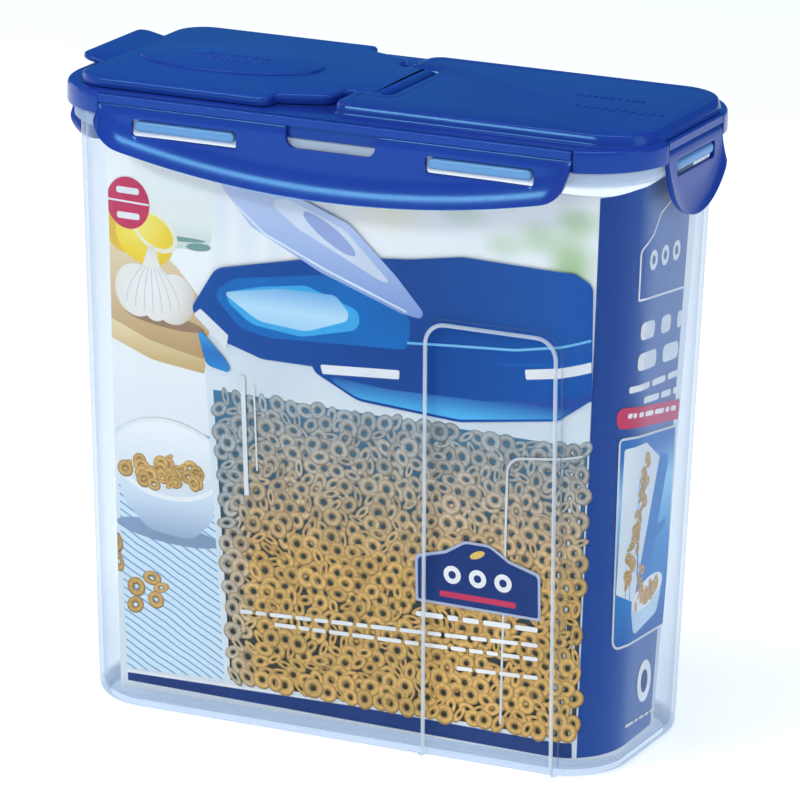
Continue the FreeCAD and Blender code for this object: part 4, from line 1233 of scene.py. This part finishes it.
def print_lid():
    """Printed lid: rim, platform, spout, raised deck, open flap and latches."""
    deep = blend_ink("print_lid_deep", (0.0, (0.004, 0.075, 0.34)), (0.5, (0.003, 0.055, 0.28)),
                     (1.0, (0.004, 0.10, 0.42)), middle=(-60, 0, 0), reach=0.17, axis="X")
    middle_blue = printed("print_lid_blue", (0.004, 0.15, 0.50))
    bright = blend_ink("print_lid_bright", (0.0, (0.03, 0.28, 0.66)), (0.5, (0.02, 0.17, 0.52)),
                       (1.0, (0.05, 0.40, 0.76)), middle=(0, 0, 131), reach=0.016, axis="Z")
    glass = blend_ink("print_spout", (0.0, (0.30, 0.58, 0.82)), (0.5, (0.52, 0.76, 0.92)),
                      (1.0, (0.10, 0.38, 0.72)),
                      middle=(0, 0, 147), reach=0.022, axis="Z")
    right = 100.6
    rim = outline([(-58.6, 153.0, 3), (-44.0, 142.6, 6), (-30.0, 138.6, 8), (right, 140.0, 0),
                   (right + 1.0, 182.5, 5), (94.0, 187.2, 8), (50.0, 187.6, 10), (30.0, 184.0, 8),
                   (-2.0, 180.6, 10), (-48.0, 170.0, 8)])
    decal("print_lid_rim", rim, deep)
    shape("print_lid_platform", middle_blue, (-50.0, 160.6, 4), (-38.0, 148.6, 8), (-26.0, 147.0, 6),
          (28.0, 150.4, 3), (30.0, 163.0, 6), (2.0, 174.6, 8), (-40.0, 167.4, 6))
    shape("print_spout_ring", bright, (-47.0, 160.8, 3), (-34.0, 151.0, 12), (-14.0, 149.2, 12),
          (9.0, 155.0, 10), (9.4, 162.0, 4), (-12.0, 168.6, 8), (-30.0, 165.6, 4))
    shape("print_spout", glass, (-45.5, 161.4, 1), (-31.0, 152.6, 14), (-12.0, 151.4, 12), (7.0, 158.6, 3),
          (0.0, 166.6, 4), (-22.0, 166.0, 2))
    line("print_lid_step", arch_path([(28.0, 153.0), (44.0, 154.4, 4), (70.0, 156.4, 8), (right, 162.5)]),
         0.9,
         printed("print_lid_glint", (0.20, 0.55, 0.86)))
    line("print_lid_step_2", arch_path([(40.0, 148.0), (60.0, 149.8, 8), (right, 154.6)]), 0.6, middle_blue)
    latch = outline([(-11.0, 146.5, 2), (-9.6, 137.0, 5), (8.0, 128.6, 14), (48.0, 126.6, 20),
                     (86.0, 132.6, 14), (right, 140.5, 0), (right + 0.4, 152.0, 0)])
    decal("print_latch", latch, deep)
    glow = blend_ink("print_latch_glow", (0.0, (0.08, 0.45, 0.80)), (1.0, (0.016, 0.07, 0.34)),
                     middle=(0, 0, 128),
                     reach=0.009, axis="Z")
    shape("print_latch_glow", glow, (-6.0, 136.5, 1), (8.0, 129.6, 14), (48.0, 127.6, 20),
          (86.0, 133.4, 14), (right, 141.2, 0), (right, 143.0, 0), (60.0, 136.0, 20), (20.0, 134.6, 14))
    for k, ring in enumerate((outline([(-5.8, 136.6, 0.6), (24.6, 139.0, 0.6), (24.8, 142.4, 0.6),
                                       (-6.6, 140.0, 0.6)], 3),
                              outline([(74.2, 146.2, 0.6), (right, 150.8, 0), (right, 154.6, 0),
                                       (73.8, 149.8, 0.6)], 3),
                              outline([(-57.2, 151.6, 0.6), (-44.4, 140.0, 0.6), (-43.4, 145.6, 0.6),
                                       (-54.4, 154.0, 0.6)],
                                      3))):
        decal(f"print_latch_bar_{k}", ring, WHITE)
    shape("print_side_latch", bright, (-56.4, 147.4, 1), (-45.0, 136.6, 1), (-41.6, 131.2, 2),
          (-52.6, 133.0, 4))
    skin = blend_ink("print_open_flap", (0.0, (0.25, 0.36, 0.68)), (0.5, (0.42, 0.53, 0.80)),
                     (1.0, (0.58, 0.67, 0.87)),
                     middle=(0, 0, 164), reach=0.04, axis="Z")
    pale = printed("print_flap_pale", (0.72, 0.79, 0.90))
    shape("print_open_flap", skin, (-45.4, 201.6, 1), (-33.0, 187.4, 6), (-6.0, 174.4, 10),
          (26.0, 163.6, 4), (37.4, 162.0, 2), (24.0, 177.0, 8), (6.0, 193.6, 5), (-20.0, 203.0, 10),
          (-36.0, 203.6, 2))
    shape("print_flap_panel", pale, (-27.0, 198.4, 3), (-14.0, 189.0, 10), (18.0, 174.4, 6),
          (22.0, 174.0, 3), (4.0, 191.4, 6), (-18.0, 199.6, 6))
    decal("print_flap_motif", ellipse(12.0, 3.0, (-2.0, 189.0), 32, -33),
          printed("print_flap_ink", (0.36, 0.44, 0.74)))
    line("print_flap_edge", [(-40.0, 195.4), (-28.0, 185.6), (-4.0, 175.6), (28.0, 164.4)], 0.8,
         printed("print_flap_glint", (0.80, 0.88, 0.96)))


def print_plaque():
    """Arch-topped navy plaque with a pale border and a generic motif of rings and bars."""
    def arch(margin):
        half, low, shoulder, top = 24.6 - margin, 57.0 + margin, 74.6 - margin, 82.6 - margin
        middle = 54.6
        return outline([(middle - half, low, 0.8), (middle + half, low, 0.8), (middle + half, shoulder, 2.0),
                        (middle + half * 0.52, shoulder + 3.2, 3.0), (middle + half * 0.2, top, 5.0),
                        (middle - half * 0.2, top, 5.0), (middle - half * 0.52, shoulder + 3.2, 3.0),
                        (middle - half, shoulder, 2.0)], 6)
    decal("print_plaque_border", arch(0), printed("print_plaque_border", (0.44, 0.50, 0.66)))
    decal("print_plaque", arch(1.0), NAVY)
    for k in range(3):
        middle = (44.6 + 10.0 * k, 69.0)
        decal(f"print_plaque_ring_{k}", ellipse(3.4, 3.4, middle, 28), WHITE)
        decal(f"print_plaque_hole_{k}", ellipse(1.5, 1.5, middle, 20), NAVY)
    decal("print_plaque_bar", rounded_box(15.0, 1.1, 0.9, (54.6, 61.4), 4), CRIMSON)
    decal("print_plaque_leaf", ellipse(3.2, 1.3, (54.6, 78.0), 20, 25),
          printed("print_wheat", (0.80, 0.56, 0.14)))


def bars(name, start, end, tall, ink, words=(4.0, 11.0)):
    """A row of short blank bars in place of a line of text."""
    start, end = Vector(start), Vector(end)
    length = (end - start).length
    way = (end - start).normalized()
    across = Vector((-way.y, way.x)) * tall / 2
    done, k = 0.0, 0
    while done < length - 2.0:
        span = min(rng.uniform(*words), length - done)
        a, b = start + way * done, start + way * (done + span)
        ring = outline([(*(a - across), tall * 0.35), (*(b - across), tall * 0.35),
                        (*(b + across), tall * 0.35), (*(a + across), tall * 0.35)], 3)
        decal(f"{name}_{k}", ring, ink)
        done += span + tall * 0.9
        k += 1


def print_bars():
    """Blank bars where the label carries small lines of text."""
    rows = (((30.0, 52.2), (78.0, 53.6), 1.9), ((-41.0, 41.2), (78.0, 47.8), 1.5),
            ((-27.0, 38.4), (78.0, 42.6), 1.5), ((46.0, 34.0), (78.0, 35.6), 1.5))
    for k, (start, end, tall) in enumerate(rows):
        bars(f"print_bar_{k}", start, end, tall, WHITE)


def spot(y, z):
    """A place on the end panel, as (s, z)."""
    return (on_end(y, z), z)


def end_outline(corners, steps=8):
    """Closed outline on the end panel through corners, each (y, z, radius)."""
    return outline([(*spot(y, z), radius) for y, z, radius in corners], steps)


def end_shape(name, ink, *corners):
    """A printed patch on the end panel, inside rounded corners, each (y, z, radius)."""
    return decal(name, end_outline(corners), ink)


def print_end_panel():
    """End panel: emblem outline, blank bars, crimson ribbon and a pouring scene."""
    layer["lift"] = END_LIFT
    arch = [spot(-21.0, 173.0), spot(-21.0, 191.0), spot(-12.0, 194.6), spot(-6.0, 201.0), spot(5.0, 204.0),
            spot(19.0, 204.6)]
    line("print_emblem", arch_path([(*p, 3.0) for p in arch]), 0.8, WHITE)
    line("print_emblem_foot", [spot(-21.0, 173.0), spot(19.0, 167.4)], 0.8, WHITE)
    for k in range(3):
        middle = spot(-11.0 + 10.0 * k, 185.2 - 0.9 * k)
        decal(f"print_emblem_ring_{k}", ellipse(3.3, 3.7, middle, 26), WHITE)
        decal(f"print_emblem_hole_{k}", ellipse(1.5, 1.7, middle, 18), NAVY)
    for k, (z, y, tall) in enumerate(((161.0, -19.0, 6.4), (150.0, -20.0, 6.4), (141.0, -24.0, 2.4),
                                      (134.6, -14.0, 2.4))):
        bars(f"print_title_{k}", spot(y, z), spot(16.5, z - 4.6), tall, WHITE, (7.0, 16.0))
    ribbon = end_outline([(-29.0, 128.0, 3.4), (17.6, 118.6, 0.4), (18.4, 125.8, 0.4),
                      (-30.0, 136.0, 3.4)], 6)
    decal("print_ribbon", ribbon, CRIMSON)
    bars("print_ribbon_bar", spot(-24.0, 131.6), spot(15.0, 123.6), 1.8, WHITE, (3.0, 8.0))
    scene_blue = blend_ink("print_scene", (0.0, (0.015, 0.10, 0.38)), (0.5, (0.02, 0.26, 0.62)),
                           (0.8, (0.30, 0.62, 0.88)),
                           (1.0, (0.03, 0.16, 0.48)), middle=(0, 0, 42), reach=0.075, axis="Z")
    frame_ring = end_outline([(-27.0, 45.0, 4.0), (14.6, 42.0, 1.0), (16.4, 117.0, 1.0),
                              (-28.0, 124.4, 2.0)], 6)
    decal("print_scene_frame", frame_ring, PALE_LINE)
    decal("print_scene", moved_in(frame_ring, 0.9), scene_blue)
    end_shape("print_pour_tub", TUB_WALL, (-26.0, 66.0, 1), (-12.0, 58.0, 2), (4.0, 108.0, 2),
              (-10.0, 118.0, 1), (-25.0, 119.6, 1))
    blue = printed("print_pour_lid", (0.02, 0.20, 0.58))
    end_shape("print_pour_lid", blue, (-16.0, 57.0, 1), (-6.0, 56.0, 2), (11.0, 107.0, 2), (3.0, 110.6, 1))
    end_shape("print_pour_flap", blue, (-1.0, 78.0, 1), (10.0, 80.6, 1), (10.6, 84.0, 1), (1.0, 83.0, 1))
    end_shape("print_pour_bowl", printed("print_pour_bowl", (0.55, 0.72, 0.86)), (-17.0, 58.0, 1),
              (-14.0, 47.0, 3), (6.0, 49.6, 4), (10.6, 61.6, 1))
    decal("print_pour_rim", ellipse(13.4, 5.2, spot(-3.4, 60.2), 32, 6), WHITE)
    falling = [ring_spot(*spot(-4.0 + rng.uniform(-10.5, 10.5) * (1 - k / 60.0),
                               60.4 + rng.uniform(-3.0, 3.0)), 1.05, 0.62)
               for k in range(26)]
    falling += [ring_spot(*spot(-10.4 + rng.uniform(-2.2, 2.2), 64.0 + 2.0 * k), 1.0, 0.6) for k in range(5)]
    held = [ring_spot(*spot(-22.0 + 0.27 * (z - 66) + rng.uniform(-1.5, 5.0), z), 0.95, 0.6)
            for z in [68.0 + 1.1 * k for k in range(42)]]
    cereal_rings("print_pour_cereal", falling + held, next_lift())
    middle = spot(-2.0, 26.0)
    decal("print_end_ring", ellipse(6.0, 8.0, middle, 36), WHITE)
    decal("print_end_hole", ellipse(3.0, 4.4, middle, 28), NAVY)
    bars("print_end_bar", spot(-17.0, 13.6), spot(10.0, 11.6), 1.2, PALE_LINE, (3.0, 7.0))


# ---------------------------------------------------------------- floor, light, camera

def make_stage():
    """Pale floor, large enough to fill the view."""
    shader = Shader("floor_white")
    shader.link(shader.ramp(shader.noise(2.0), (0.3, (0.93, 0.935, 0.94)), (0.7, (0.95, 0.95, 0.955))),
                shader.bsdf.inputs["Base Color"])
    shader.set(Roughness=0.9, Emission_Color=(1, 1, 1, 1), Emission_Strength=0.5)
    half = 9000.0
    floor = profiled("floor", rounded_box(half, half, 800.0), [(0, -20.0), (0, 0.0)], shader.material)


def softbox(name, at, aim, size, power, colour=(1.0, 1.0, 1.0)):
    """Rectangular studio light that faces a point; places in metres."""
    lamp = bpy.data.lights.new(name, "AREA")
    lamp.shape = "RECTANGLE"
    lamp.size, lamp.size_y = size
    lamp.energy = power
    lamp.color = colour
    holder = bpy.data.objects.new(name, lamp)
    holder.location = at
    holder.rotation_euler = (Vector(aim) - Vector(at)).to_track_quat("-Z", "Y").to_euler()
    bpy.context.scene.collection.objects.link(holder)


def make_light():
    """White surroundings, a key from the front left, a top box and a low fill."""
    world = bpy.data.worlds.new("studio")
    world.use_nodes = True
    nodes, links = world.node_tree.nodes, world.node_tree.links
    where = nodes.new("ShaderNodeTexCoord")
    parts = nodes.new("ShaderNodeSeparateXYZ")
    ramp = nodes.new("ShaderNodeValToRGB")
    links.new(where.outputs["Generated"], parts.inputs["Vector"])
    links.new(parts.outputs["Y"], ramp.inputs["Fac"])
    stops = ramp.color_ramp.elements
    stops[0].position, stops[0].color = 0.0, (0.90, 0.96, 1.0, 1)
    stops[1].position, stops[1].color = 0.5, (0.07, 0.36, 0.80, 1)
    sky = nodes["Background"]
    links.new(ramp.outputs["Color"], sky.inputs["Color"])
    sky.inputs["Strength"].default_value = 0.5
    bpy.context.scene.world = world
    middle = (0.0, 0.0, 0.12)
    softbox("key", (-0.8, -1.5, 1.25), middle, (0.9, 0.22), 11.0)
    softbox("top", (0.1, -0.3, 1.6), middle, (1.4, 0.25), 8.0)
    softbox("side", (1.8, -0.2, 0.8), middle, (0.8, 1.2), 4.0)
    softbox("rear", (-1.9, 0.6, 0.5), middle, (1.0, 0.8), 2.5)


def make_camera():
    """Long lens from the front right, a little above."""
    azimuth, elevation, roll = math.radians(24.77), math.radians(15.98), math.radians(0.967)
    distance = 2.2
    target = Vector((0, 0, 0.116))
    way = Vector((math.sin(azimuth) * math.cos(elevation), -math.cos(azimuth) * math.cos(elevation),
                  math.sin(elevation)))
    data = bpy.data.cameras.new("camera")
    data.sensor_width = 36.0
    data.lens = 273.74
    data.shift_x, data.shift_y = 0.0120, 0.0042
    data.clip_end = 50.0
    camera = bpy.data.objects.new("camera", data)
    camera.location = target + way * distance
    level = (-way).to_track_quat("-Z", "Y").to_matrix()
    camera.rotation_euler = (level @ Matrix.Rotation(roll, 3, "Z")).to_euler()
    bpy.context.scene.collection.objects.link(camera)
    bpy.context.scene.camera = camera


make_camera()
make_light()
make_stage()
make_tub()
make_grip_edges()
make_rim()
make_deck()
make_flap()
make_strip_looks()
for side, turn, reach, kind in SIDES:
    make_lugs(side, turn, reach, kind)
    make_latch(side, turn, reach, kind)
make_card()
print_border()
print_background()
print_still_life()
print_badge()
print_bowl()
print_tub()
print_lid()
print_plaque()
print_bars()
print_end_panel()

bpy.context.scene.view_settings.view_transform = "Standard"
bpy.context.view_layer.update()
